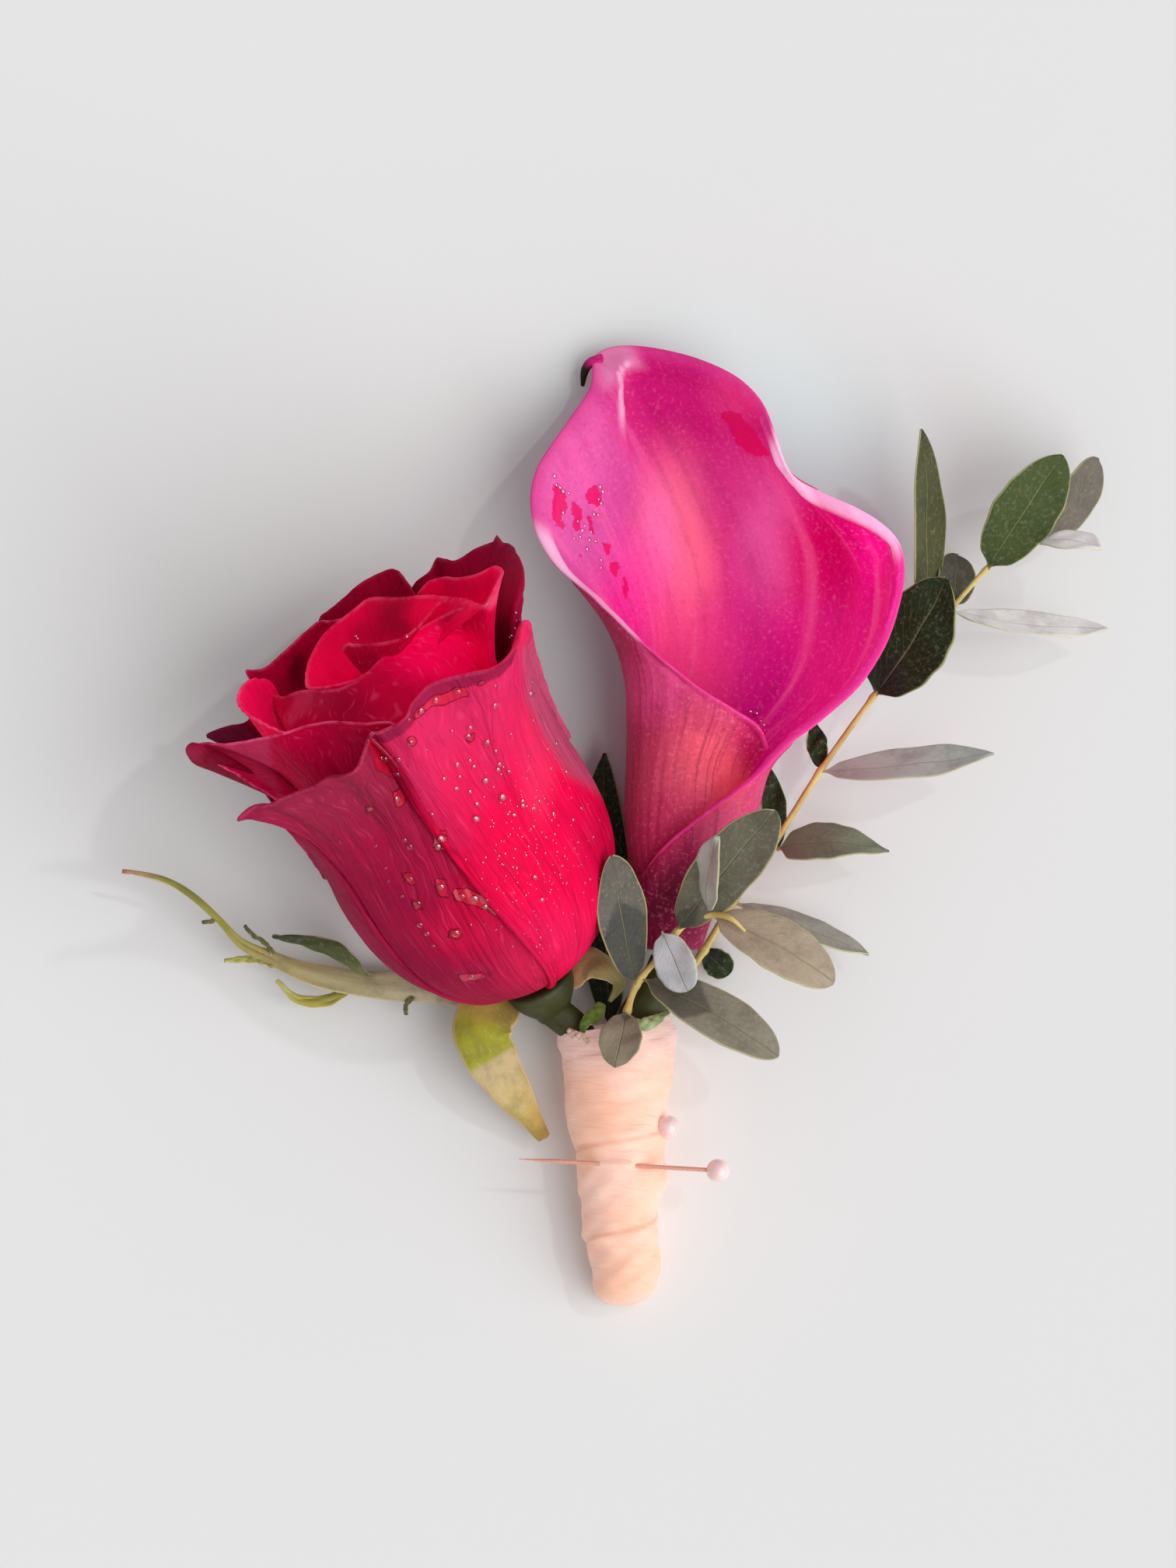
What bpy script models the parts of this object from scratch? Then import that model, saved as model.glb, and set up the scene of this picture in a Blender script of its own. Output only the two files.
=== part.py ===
"""A boutonniere that lies on its back: a red rose, a magenta calla and two eucalyptus sprigs.

The flowers' stems stand in plain holes in a wound tape wrap, which two pearl-headed pins pierce.
+Z points up, to the viewer who looks straight down, and +Y points from the wrap to the flowers.
The origin is under the middle of the whole, on the surface that it lies on.
Sizes are in millimetres and are turned into metres where a mesh is made.
"""

import math

import bmesh
import bpy
import numpy as np
from mathutils import Matrix, Vector

MM = 0.001

# The straight-down view that places are read from: a pixel is PIXEL wide at SCALE_HEIGHT.
EYE = Vector((-4.1, 6.6, 1000.0))
PIXEL_UNDER_EYE = (756, 1008)
PIXEL = 0.12
SCALE_HEIGHT = 15.0

PETAL_THICKNESS = 0.7
OUTER_PETAL_THICKNESS = 1.0
SPATHE_THICKNESS = 0.8
LEAF_THICKNESS = 0.62
STEM_GAP = 0.3
BED_DEPTH = 60.0

# The rose: its axis rises ROSE_TILT from the surface, and its heading is in plan.
ROSE_BASE = Vector((-12.1, -23.5, 10.1))
ROSE_TILT = math.radians(26)
ROSE_HEADING = Vector((-0.458, 0.889)).normalized()
ROSE_PROFILE = (
    (0, 3.6), (3, 9.8), (7, 14.6), (12, 18.3), (18, 20.6), (24, 21.4),
    (30, 21.3), (38, 20.5), (46, 20.3), (52, 21.0), (58, 22.5), (66, 24.5),
)

# Each petal's rim, left to right: angle round the axis (0 faces the viewer, + is to the right),
# height along the axis and distance from it.
OUTER_PETALS = {
    "front_right": dict(
        inset=-0.6,
        rim=(
            (-13, 56, 21.5), (-9, 60, 23), (-2, 61.5, 25), (5, 62, 26.2), (15, 62.5, 25),
            (27, 62.5, 26), (36, 61.5, 28.5), (48, 61, 28.5), (60, 60.5, 27), (66, 59, 25.5),
            (76, 50, 22.5), (88, 40, 20.8), (98, 32, 20.8),
        ),
    ),
    "front_left": dict(
        inset=0.5,
        rim=(
            (2, 52, 20.5), (-6, 58, 23), (-13, 60, 26), (-24, 57.5, 27.5), (-36, 57.5, 29.5),
            (-44, 57, 32), (-51, 56, 34.5), (-56, 53, 29.5), (-64, 47, 23.5), (-76, 40, 20.8),
            (-90, 32, 20.6),
        ),
    ),
    "back_left": dict(
        inset=0.2,
        rim=(
            (-78, 34, 20.7), (-92, 46, 21.0), (-108, 55, 23), (-125, 57, 24.5), (-142, 57, 24),
            (-158, 55, 22.5), (-172, 48, 20.6), (-182, 38, 20.6),
        ),
    ),
    "back_middle": dict(
        inset=0.55,
        rim=(
            (-160, 36, 20), (-172, 46, 20), (-184, 54, 22.5), (-197, 56.5, 24.5), (-211, 56, 24.5),
            (-224, 52, 22), (-234, 44, 20), (-242, 34, 20),
        ),
    ),
    "back_right": dict(
        inset=0.3,
        rim=(
            (146, 38, 20.6), (138, 48, 20.6), (127, 54, 22.5), (113, 56, 23.5), (102, 52, 22),
            (92, 42, 20.6), (84, 32, 20.8),
        ),
    ),
}
INNER_PETALS = {
    "left_lip": dict(
        inset=1.6,
        rim=(
            (0, 57.5, 21.3), (-12, 60.5, 21.8), (-34, 62, 22), (-48, 62.5, 24), (-60, 63, 26),
            (-72, 63.3, 28.5), (-80, 63, 30.5), (-86, 62, 31.5), (-91, 57.5, 27.5), (-97, 51, 23),
            (-106, 44, 19.6),
        ),
    ),
    "far_right": dict(
        inset=1.4,
        rim=(
            (84, 44, 19.2), (92, 51, 21.5), (99, 57, 25.5), (105, 61, 28.3), (114, 63, 29),
            (123, 62.5, 27), (134, 62.3, 25), (144, 62, 23.8), (151, 59, 20.5), (158, 52, 18.8),
        ),
    ),
    "far_middle": dict(
        inset=2.2,
        rim=(
            (145, 54, 18.5), (151, 60.5, 21.8), (157, 62.5, 24.6), (165, 62.4, 24.6),
            (177, 62, 22.2), (192, 62, 20.5), (200, 57, 18.5),
        ),
    ),
    "far_left": dict(
        inset=2.0,
        rim=(
            (-176, 55, 18.6), (-168, 60.5, 19.4), (-156, 62, 18.8), (-140, 62, 18.2),
            (-130, 62.5, 19.3), (-124, 62.2, 21.4), (-117, 59, 20), (-108, 53, 18.6),
        ),
    ),
    "left_inner": dict(
        inset=2.8,
        rim=(
            (-121, 58, 17.2), (-113, 63, 18.6), (-100, 64, 19.6), (-84, 64, 20.1),
            (-68, 63.6, 20.2), (-55, 62.6, 19.8), (-42, 58, 18.6),
        ),
    ),
    "heart_right": dict(
        inset=4.0,
        rim=(
            (-97, 58, 16.6), (-88, 62, 15), (-76, 62.6, 12.2), (-60, 62.7, 10), (-37, 62.6, 9.2),
            (-7, 62.7, 8.8), (20, 63, 8.6), (45, 63.5, 9.2), (62, 64, 12.5), (69, 64.4, 17),
            (77, 65, 21.5), (88, 65.4, 24.3), (98, 65, 22.6), (108, 65, 19), (122, 64.6, 16.8),
            (132, 62, 14.5),
        ),
    ),
    "heart_left": dict(
        inset=7.0,
        rim=(
            (16, 62.6, 6.9), (-8, 62.4, 7.2), (-40, 62.4, 8.1), (-80, 62.6, 9.8), (-118, 63.6, 10.3),
            (-155, 65, 11.4), (-180, 65.6, 12), (-206, 65.6, 12.4), (-234, 65.2, 13.2),
            (-258, 64.6, 16.5), (-272, 63, 18.2),
        ),
    ),
    "heart_middle": dict(
        inset=11.0,
        rim=(
            (-165, 61, 7.6), (-130, 62.2, 6.4), (-90, 62.8, 4.9), (-45, 63.1, 3.9), (0, 63.4, 3.8),
            (40, 63.8, 5), (75, 63.8, 7.4),
        ),
    ),
}
OUTER_COLUMNS = 9
INNER_COLUMNS = 8
OUTER_STEPS = (0, 0.12, 0.3, 0.55, 0.8, 1)
INNER_STEPS = (0, 0.38, 0.62, 0.82, 1)
OUTER_START = 0.4
INNER_START = 38.0
FLARE_FROM = 0.3
FLARE_INWARD = 2.0
FLARE_OUTWARD = 2.8
ROOT_SPREAD = 0.45
LONG_RIM = 10
CORE_DOME = ((0.0, 46.0), (9.0, 45.4), (14.5, 44.0))
CORE_HEIGHTS = (40, 24, 18, 12, 7, 3, 0)
CORE_INSET = 0.85
CORE_LEAST_RADIUS = 3.4
CORE_SIDES = 20

# The rose's hip, its stem and its five sepals: mid-lines from root to tip, with widths.
HIP_PROFILE = ((0.0, 5.0), (-1.5, 5.4), (-3.5, 4.6), (-5.5, 3.2), (-7.0, 2.4))
HIP_GAP = 0.35
HIP_SIDES = 12
SEPAL_FOLD = 0.12
SEPAL_THICKNESS = 0.8
ROSE_STEM_RADII = (2.6, 2.5, 2.4, 2.2, 2.0)
ROSE_STEM = ((692, 1282, 8.4), (714, 1301, 8.2), (743, 1327, 8.2), (754, 1362, 8.1), (757, 1410, 7.9),
             (763, 1490, 6.9), (772, 1575, 5.9))
SEPALS = {
    "left": dict(
        line=((682, 1270, 5.0), (610, 1285, 2.6), (520, 1277, 3.0), (460, 1268, 4.2), (400, 1252, 5.4),
              (340, 1236, 6.4), (299, 1208, 7.4), (254, 1166, 8.2), (210, 1132, 8.6), (156, 1121, 8.4)),
        widths=(3.4, 4.4, 4.4, 4.1, 3.4, 2.6, 2.0, 1.5, 1.1, 0.7),
        lean=10,
    ),
    "left_upper_lobe": dict(
        line=((458, 1246, 6.0), (415, 1224, 6.6), (385, 1212, 7.6), (350, 1204, 8.6)),
        widths=(2.2, 2.9, 2.2, 0.7),
        lean=-20,
    ),
    "left_lower_lobe": dict(
        line=((446, 1272, 5.2), (415, 1286, 4.4), (382, 1284, 4.8), (356, 1260, 5.4)),
        widths=(1.2, 1.9, 1.6, 0.7),
        lean=15,
    ),
    "left_small_lobe": dict(
        line=((352, 1240, 6.2), (330, 1233, 6.2), (288, 1235, 6.4)),
        widths=(1.2, 1.2, 0.7),
        lean=0,
    ),
    "down": dict(
        line=((674, 1276, 5.8), (644, 1292, 7.2), (622, 1316, 9.4), (629, 1345, 10.2), (646, 1374, 9.2),
              (667, 1412, 7.0), (684, 1444, 4.8), (694, 1470, 3.2)),
        widths=(6.0, 9.2, 8.8, 8.4, 8.7, 7.4, 5.0, 0.9),
        lean=-6,
    ),
    "right": dict(
        line=((694, 1268, 7.0), (724, 1250, 8.2), (754, 1238, 9.8), (780, 1246, 11.0),
              (796, 1264, 10.6), (784, 1288, 10.8)),
        widths=(4.0, 5.6, 6.0, 5.4, 3.8, 0.9),
        lean=-14,
    ),
    "back": dict(
        line=((690, 1276, 4.0), (712, 1258, 2.2), (732, 1234, 1.5), (740, 1204, 1.6), (736, 1176, 2.6)),
        widths=(4.0, 5.6, 5.0, 3.4, 0.8),
        lean=0,
    ),
}

# The calla: cross sections of the tube (distance up from its base, pixel column of its middle,
# half width, share of that width in height), and the margin from its tucked left end, round the
# tip and down the right flap: pixel, height and angle round the tube (0 faces the viewer).
CALLA_FOOT = (866, 1220)
CALLA_TUBE = (
    (0, 866, 3.6, 1.0), (5, 869, 5.0, 1.0), (14, 876, 8.2, 1.0), (21, 885, 10.0, 1.0),
    (28, 895, 11.0, 0.97), (33, 915, 13.3, 0.9), (36, 931, 15.2, 0.85), (42, 957, 17.7, 0.76),
    (50, 973, 19.6, 0.70), (60, 968, 20.6, 0.66), (70, 935, 18.4, 0.66), (80, 893, 14.8, 0.62),
    (94, 815, 9.4, 0.55),
)
CALLA_FOOT_HEIGHT = 8.0
CALLA_BACK_HEIGHT = 0.1
CALLA_MARGIN = (
    (988, 962, 22.0, 66), (975, 934, 23.6, 40), (940, 910, 25.0, 14), (900, 885, 26.2, -10),
    (858, 851, 26.4, -32), (824, 822, 25.8, -46), (790, 790, 24.8, -58), (757, 759, 23.6, -70),
    (716, 725, 22.0, -80), (690, 684, 20.4, -88), (683, 640, 18.6, -96), (690, 604, 16.4, -104),
    (707, 575, 13.8, -113), (733, 538, 10.0, -126), (758, 500, 6.6, -141), (762, 474, 4.6, -156),
    (768, 455, 3.8, -168), (792, 446, 4.2, -177), (826, 447, 5.4, -185), (870, 456, 8.0, -194),
    (914, 471, 10.8, -203), (952, 493, 13.4, -212), (978, 523, 15.8, -220), (992, 558, 18.0, -228),
    (1005, 594, 20.0, -235), (1023, 617, 21.2, -241), (1056, 634, 21.8, -248), (1097, 652, 21.8, -254),
    (1131, 672, 21.4, -260), (1153, 696, 21.2, -265), (1160, 725, 21.4, -269), (1157, 762, 22.0, -272),
    (1148, 798, 23.0, -274), (1131, 838, 24.2, -276), (1109, 872, 25.4, -278), (1080, 902, 26.4, -281),
    (1046, 930, 27.0, -285), (1019, 950, 26.8, -290), (998, 970, 26.2, -297), (975, 994, 25.4, -308),
    (944, 1018, 24.6, -322), (905, 1046, 23.6, -341), (866, 1078, 21.4, -368), (840, 1107, 18.0, -397),
    (820, 1142, 12.6, -430),
)
CALLA_ROWS = 8
CALLA_LAYER_GAP = 2.2
CALLA_FLARE_START = 0.5
CALLA_FLARE_POWER = 2.3
CALLA_TAIL = ((775, 462, 3.8, 0.9), (760, 466, 3.4, 0.8), (752, 477, 2.8, 0.6), (749, 496, 2.0, 0.3))
CALLA_NECK_RADIUS = 1.5
CALLA_STEM_RADII = (3.2, 3.1, 2.9, 2.7, 2.3)
CALLA_STEM = ((861, 1238, 7.8), (853, 1256, 7.3), (830, 1292, 6.6), (815, 1325, 6.2), (810, 1400, 6.0),
              (812, 1480, 6.0), (815, 1575, 5.9))
SPADIX_FOOT = (870, 1172, 8.6)
SPADIX_TIP = (897, 925, 13.4)
SPADIX_RADII = (1.75, 2.5, 2.4, 1.9, 0.65)
TUBE_RISE = 26

# The eucalyptus. A leaf is its root, its tip, its true width, how far it leans about its own
# length in degrees, how much it arches up, and how far it bows to the left of its way.
LEAF_STATIONS = (0, 0.12, 0.3, 0.52, 0.76, 0.92, 1)
LEAF_LEAST_SHARE = 0.07
LEAF_FOLD = 0.12
LONG_STEM = ((846, 1400, 4.4), (844, 1330, 4.5), (852, 1300, 3.6), (905, 1222, 2.9), (940, 1164, 3.6),
             (1000, 1090, 5.4), (1031, 1040, 6.4), (1052, 990, 7.2), (1125, 893, 8.6), (1178, 832, 9.4),
             (1225, 780, 10.2), (1272, 728, 11.0), (1300, 712, 11.6), (1340, 694, 12.4))
LONG_STEM_RADII = (0.95, 0.95, 0.95, 0.95, 0.95, 0.9, 0.9, 0.85, 0.8, 0.75, 0.7, 0.65, 0.55, 0.42)
LONG_LEAVES = (
    ((1268, 733, 11.0), (1366, 585, 17.0), 10.2, 22, 1.6, 0.2),
    ((1322, 702, 11.8), (1412, 590, 12.6), 8.4, 42, 1.0, -1.0),
    ((1334, 697, 12.4), (1417, 705, 18.0), 6.0, -58, 0.8, 0.6),
    ((1222, 786, 10.2), (1425, 808, 8.6), 8.0, -62, 1.2, -0.9),
    ((1186, 822, 9.4), (1184, 552, 19.0), 9.4, 58, 1.0, -0.7),
    ((1226, 780, 10.0), (1232, 714, 4.8), 6.4, 20, 0.6, 0.1),
    ((1122, 897, 8.1), (1216, 745, 11.6), 12.0, -20, 1.0, -0.7),
    ((1052, 992, 7.2), (1278, 969, 13.0), 7.9, -54, 1.8, -0.5),
    ((1054, 988, 7.0), (1038, 925, 4.4), 6.0, 10, 0.4, 0.0),
    ((998, 1092, 5.4), (1143, 1095, 8.4), 7.8, -46, 2.4, 1.2),
    ((1001, 1090, 5.2), (984, 990, 1.7), 5.8, 10, 0.0, -0.2),
    ((944, 1160, 3.8), (1117, 1227, 6.0), 6.4, -56, 1.4, 0.1),
    ((905, 1222, 2.9), (938, 1252, 2.2), 4.6, 10, 0.3, 0.0),
)
SHORT_STEM = ((800, 1400, 11.2), (801, 1340, 12.0), (806, 1302, 13.2), (819, 1265, 14.8), (842, 1236, 16.4),
              (869, 1199, 18.4), (892, 1183, 19.6), (914, 1176, 20.4), (940, 1182, 20.2), (957, 1197, 19.2))
SHORT_STEM_RADII = (0.85, 0.85, 0.85, 0.8, 0.75, 0.7, 0.65, 0.6, 0.5, 0.4)
SHORT_LEAVES = (
    ((817, 1266, 15.0), (786, 1100, 30.5), 8.0, 24, 1.0, 0.2),
    ((806, 1300, 13.6), (790, 1372, 17.6), 6.4, 8, 0.8, 0.0),
    ((824, 1258, 15.4), (1001, 1358, 17.0), 8.2, -30, 2.2, 0.8),
    ((867, 1201, 18.6), (880, 1273, 19.4), 6.6, 34, 0.5, 0.0),
    ((869, 1199, 18.6), (997, 1042, 29.0), 9.8, 14, 0.8, 0.4),
    ((910, 1175, 20.4), (922, 1075, 31.0), 6.6, -50, 0.5, 0.6),
    ((914, 1177, 20.4), (1072, 1264, 21.0), 9.0, -26, 2.0, 0.9),
)
STEMS = {
    "rose": (ROSE_STEM, ROSE_STEM_RADII),
    "calla": (CALLA_STEM, CALLA_STEM_RADII),
    "long_sprig": (LONG_STEM, LONG_STEM_RADII),
    "short_sprig": (SHORT_STEM, SHORT_STEM_RADII),
}
BACKING_LEAF = ((786, 1334, 2.3), (778, 968, 5.4), 10.0, -30, 1.2, 0.6)

# The wrap, from its mouth to its closed end: pixel row, left and right pixel columns, and how
# deep it is from front to back.
WRAP_ROWS = (
    (1317, 715, 862, 13.7), (1328, 715, 868, 13.8), (1340, 717, 870, 13.8), (1362, 722, 868, 13.7),
    (1386, 725, 866, 13.6), (1410, 726, 860, 13.4), (1434, 726, 858, 13.3), (1452, 730, 860, 13.5),
    (1462, 733, 859, 13.3), (1472, 736, 856, 12.6), (1494, 742, 856, 12.7), (1518, 742, 859, 12.6),
    (1554, 747, 847, 11.5), (1588, 747, 846, 11.2), (1600, 753, 847, 10.7), (1630, 760, 850, 10.5),
    (1656, 763, 844, 9.6), (1668, 768, 835, 7.8), (1676, 777, 822, 5.0),
)
WRAP_SIDES = 20
WRAP_SINK = 0.1
MOUTH_WALL = 0.65
MOUTH_SLANT = 0.18
SLANT_FADE = 60
MOUTH_RINGS = 3
ABOVE_MOUTH = 40

PIN_RADIUS = 0.3
PIN_GAP = 0.2
PIN_POINT = 3.0
ROD_SIDES = 8
PEARL_RADIUS = 1.95
PEARL_HOLE_DEPTH = 2.0
PEARL_POCKET_GAP = 0.25
PIN_A_TIP = (667, 1490, 12.3)
PIN_A_HEAD = (923, 1505, 11.6)
PIN_B_TIP = (772, 1518, 9.5)
PIN_B_HEAD = (859, 1449, 9.4)

COLOURS = {
    "rose_bloom": ((0.72, 0.005, 0.06), 0.5),
    "rose_stem": ((0.3, 0.27, 0.09), 0.6),
    "calla_spathe": ((0.72, 0.06, 0.25), 0.4),
    "calla_spadix": ((0.8, 0.5, 0.06), 0.7),
    "calla_stem": ((0.08, 0.09, 0.02), 0.5),
    "eucalyptus_long": ((0.12, 0.13, 0.07), 0.6),
    "eucalyptus_short": ((0.22, 0.2, 0.15), 0.6),
    "backing_leaf": ((0.04, 0.07, 0.03), 0.5),
    "stem_wrap": ((0.93, 0.6, 0.45), 0.6),
    "pin": ((0.9, 0.75, 0.65), 0.3),
    "pearl": ((0.87, 0.6, 0.57), 0.2),
}


def spot(across, down, height):
    """The point, in mm, that is seen at a pixel and lies at a height."""
    scale = PIXEL * (EYE.z - height) / (EYE.z - SCALE_HEIGHT)
    return Vector((
        EYE.x + (across - PIXEL_UNDER_EYE[0]) * scale,
        EYE.y + (PIXEL_UNDER_EYE[1] - down) * scale,
        height,
    ))


def smooth_through(points, count):
    """Count points, evenly spread along a Catmull-Rom curve through the given ones."""
    known = np.array(points, dtype=float)
    padded = np.vstack([2 * known[0] - known[1], known, 2 * known[-1] - known[-2]])
    fine = []
    for i in range(len(known) - 1):
        a, b, c, d = padded[i:i + 4]
        for t in np.linspace(0, 1, 12, endpoint=False):
            fine.append(0.5 * (
                2 * b + (c - a) * t + (2 * a - 5 * b + 4 * c - d) * t**2
                + (3 * b - a - 3 * c + d) * t**3
            ))
    fine.append(known[-1])
    fine = np.array(fine)
    along = np.concatenate([[0], np.cumsum(np.linalg.norm(np.diff(fine, axis=0), axis=1))])
    places = np.linspace(0, along[-1], count)
    return np.column_stack([np.interp(places, along, column) for column in fine.T])


def eased(x):
    x = min(max(x, 0.0), 1.0)
    return x * x * (3 - 2 * x)


def material(name, colour, roughness, metallic=0.0):
    made = bpy.data.materials.new(name)
    made.use_nodes = True
    shader = made.node_tree.nodes["Principled BSDF"]
    shader.inputs["Base Color"].default_value = (*colour, 1)
    shader.inputs["Roughness"].default_value = roughness
    shader.inputs["Metallic"].default_value = metallic
    return made


def collection(name):
    made = bpy.data.collections.new(name)
    bpy.context.scene.collection.children.link(made)
    return made


def new_object(name, points, faces, home):
    """A mesh object from points in mm."""
    mesh = bpy.data.meshes.new(name)
    mesh.from_pydata([tuple(float(c) * MM for c in p) for p in points], [], faces)
    mesh.update()
    made = bpy.data.objects.new(name, mesh)
    home.objects.link(made)
    return made


def grid_faces(rows, columns, round_=False):
    """Two triangles for each cell of a grid of points stored row by row."""
    faces = []
    for r in range(rows - 1):
        for c in range(columns if round_ else columns - 1):
            d = (c + 1) % columns
            low, right = r * columns + c, r * columns + d
            up, far = low + columns, right + columns
            faces += [(low, right, far), (low, far, up)]
    return faces


def sheet(name, rows, thickness, offset, home):
    """A thick blade from a grid of points: its face looks to the right hand's side of rows."""
    points = [p for row in rows for p in row]
    made = new_object(name, points, grid_faces(len(rows), len(rows[0])), home)
    solid = made.modifiers.new("Thickness", "SOLIDIFY")
    solid.thickness = thickness * MM
    solid.offset = offset
    return made


def loft(name, rings, home):
    """A closed solid through rings of points, each turning the same way, with flat end caps."""
    sides = len(rings[0])
    points = [p for ring in rings for p in ring]
    faces = grid_faces(len(rings), sides, round_=True)
    last = (len(rings) - 1) * sides
    faces.append(tuple(reversed(range(sides))))
    faces.append(tuple(last + i for i in range(sides)))
    made = new_object(name, points, faces, home)
    turn_outward(made)
    return made


def turn_outward(thing):
    shape = bmesh.new()
    shape.from_mesh(thing.data)
    bmesh.ops.recalc_face_normals(shape, faces=shape.faces)
    shape.to_mesh(thing.data)
    shape.free()


def tube(name, route, radii, home, resolution=1):
    """A solid tube along a smooth route, as a mesh with its caps welded."""
    count = 2 * len(route) - 1
    places = smooth_through([tuple(p) for p in route], count)
    widths = np.interp(np.linspace(0, 1, count), np.linspace(0, 1, len(radii)), radii)
    line = bpy.data.curves.new(name, "CURVE")
    line.dimensions = "3D"
    line.use_fill_caps = True
    line.bevel_depth = MM
    line.bevel_resolution = resolution
    spline = line.splines.new("POLY")
    spline.points.add(count - 1)
    for point, place, width in zip(spline.points, places, widths):
        point.co = (*(c * MM for c in place), 1)
        point.radius = width
    drawn = bpy.data.objects.new(name, line)
    home.objects.link(drawn)
    return as_mesh(drawn, home, weld=True)


def as_mesh(thing, home, weld=False):
    """The evaluated object as a plain mesh object, in its place."""
    evaluated = thing.evaluated_get(bpy.context.evaluated_depsgraph_get())
    mesh = bpy.data.meshes.new_from_object(evaluated)
    name = thing.name
    matrix = thing.matrix_world.copy()
    bpy.data.objects.remove(thing)
    if weld:
        shape = bmesh.new()
        shape.from_mesh(mesh)
        bmesh.ops.remove_doubles(shape, verts=shape.verts, dist=1e-6)
        shape.to_mesh(mesh)
        shape.free()
    made = bpy.data.objects.new(name, mesh)
    made.matrix_world = matrix
    home.objects.link(made)
    return made


def joined(name, pieces, home):
    """One body from overlapping pieces, by a Boolean union on a collection of them."""
    first, *rest = pieces
    others = collection(name + "_pieces")
    for piece in rest:
        home.objects.unlink(piece)
        others.objects.link(piece)
    union = first.modifiers.new("Joined", "BOOLEAN")
    union.operation = "UNION"
    union.operand_type = "COLLECTION"
    union.solver = "MANIFOLD"
    union.collection = others
    bpy.context.view_layer.update()
    first.name = name + "_first"
    whole = as_mesh(first, home)
    whole.name = name
    for piece in list(others.objects):
        bpy.data.objects.remove(piece)
    bpy.data.collections.remove(others)
    keep_largest_shell(whole)
    return whole


def keep_largest_shell(thing):
    """Drops loose scraps and fills hollows that joining sealed."""
    shape = bmesh.new()
    shape.from_mesh(thing.data)
    shape.faces.ensure_lookup_table()
    seen = set()
    shells = []
    for start in shape.faces:
        if start.index in seen:
            continue
        seen.add(start.index)
        shell, waiting = [], [start]
        while waiting:
            face = waiting.pop()
            shell.append(face)
            for edge in face.edges:
                for other in edge.link_faces:
                    if other.index not in seen:
                        seen.add(other.index)
                        waiting.append(other)
        shells.append(shell)
    shells.sort(key=len)
    for shell in shells[:-1]:
        bmesh.ops.delete(shape, geom=shell, context="FACES")
    shape.to_mesh(thing.data)
    shape.free()


def cut(thing, cutter, solver="EXACT"):
    cutter.hide_render = True
    cutter.display_type = "WIRE"
    made = thing.modifiers.new("Cut " + cutter.name, "BOOLEAN")
    made.operation = "DIFFERENCE"
    made.solver = solver
    made.object = cutter
    return made


def finish(thing, colour_name, smooth=True):
    colour, roughness = COLOURS[colour_name]
    thing.data.materials.clear()
    thing.data.materials.append(material(thing.name, colour, roughness))
    if smooth:
        thing.data.shade_smooth()
        thing.data.set_sharp_from_angle(angle=math.radians(40))


def bed(home):
    """The block under the surface that flattens what would reach below it."""
    bpy.ops.mesh.primitive_cube_add(size=1, location=(0, 0, -BED_DEPTH / 2 * MM))
    block = bpy.context.object
    block.name = "surface"
    block.scale = (400 * MM, 400 * MM, BED_DEPTH * MM)
    for holder in list(block.users_collection):
        holder.objects.unlink(block)
    home.objects.link(block)
    return block


# The rose
def rose_axes():
    axis = Vector((
        ROSE_HEADING.x * math.cos(ROSE_TILT), ROSE_HEADING.y * math.cos(ROSE_TILT), math.sin(ROSE_TILT)
    ))
    front = (Vector((0, 0, 1)) - axis.z * axis).normalized()
    return axis, front, axis.cross(front)


def in_rose(angle, height, radius):
    axis, front, right = rose_axes()
    turn = math.radians(angle)
    return ROSE_BASE + height * axis + radius * (math.cos(turn) * front + math.sin(turn) * right)


def rose_radius(height):
    heights, radii = zip(*ROSE_PROFILE)
    return float(np.interp(height, heights, radii))


def petal_rows(petal, start, steps, columns):
    """A petal as rows of points, from its root up to its rim."""
    inset = petal["inset"]
    rim_points = smooth_through(petal["rim"], columns)
    middle = float(rim_points[:, 0].mean())
    rows = []
    for step in steps:
        row = []
        for angle, top, reach in rim_points.tolist():
            height = start + (top - start) * step
            body = max(rose_radius(height) - inset, 1.0)
            at_top = max(rose_radius(top) - inset, 1.0)
            power = FLARE_INWARD if reach < at_top else FLARE_OUTWARD
            flare = max(0.0, (step - FLARE_FROM) / (1 - FLARE_FROM)) ** power
            spread = ROOT_SPREAD + (1 - ROOT_SPREAD) * eased(2 * step) if start == OUTER_START else 1.0
            row.append(in_rose(middle + (angle - middle) * spread, height, body + (reach - at_top) * flare))
        rows.append(row)
    return rows


def make_rose_bloom(parts):
    pieces = [rose_core(parts)]
    for name, petal in OUTER_PETALS.items():
        rows = petal_rows(petal, OUTER_START, OUTER_STEPS, OUTER_COLUMNS)
        pieces.append(petal_blade(name, rows, OUTER_PETAL_THICKNESS, parts))
    for name, petal in INNER_PETALS.items():
        columns = INNER_COLUMNS + max(0, len(petal["rim"]) - LONG_RIM)
        rows = petal_rows(petal, INNER_START, INNER_STEPS, columns)
        pieces.append(petal_blade(name, rows, PETAL_THICKNESS, parts))
    return joined("rose_bloom", pieces, parts)


def petal_blade(name, rows, thickness, parts):
    """Solid petal, its thickness inside the surface that the rows give."""
    across = rows[-1][-1] - rows[-1][0]
    upward = rows[-1][len(rows[0]) // 2] - rows[0][len(rows[0]) // 2]
    outward = rows[2][len(rows[0]) // 2] - rose_foot(rows[2][len(rows[0]) // 2])
    faces_out = across.cross(upward).dot(outward) > 0
    return as_mesh(sheet(name, rows, thickness, -1 if faces_out else 1, parts), parts)


def rose_foot(point):
    """The nearest point of the rose's axis."""
    axis = rose_axes()[0]
    return ROSE_BASE + (point - ROSE_BASE).dot(axis) * axis


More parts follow.
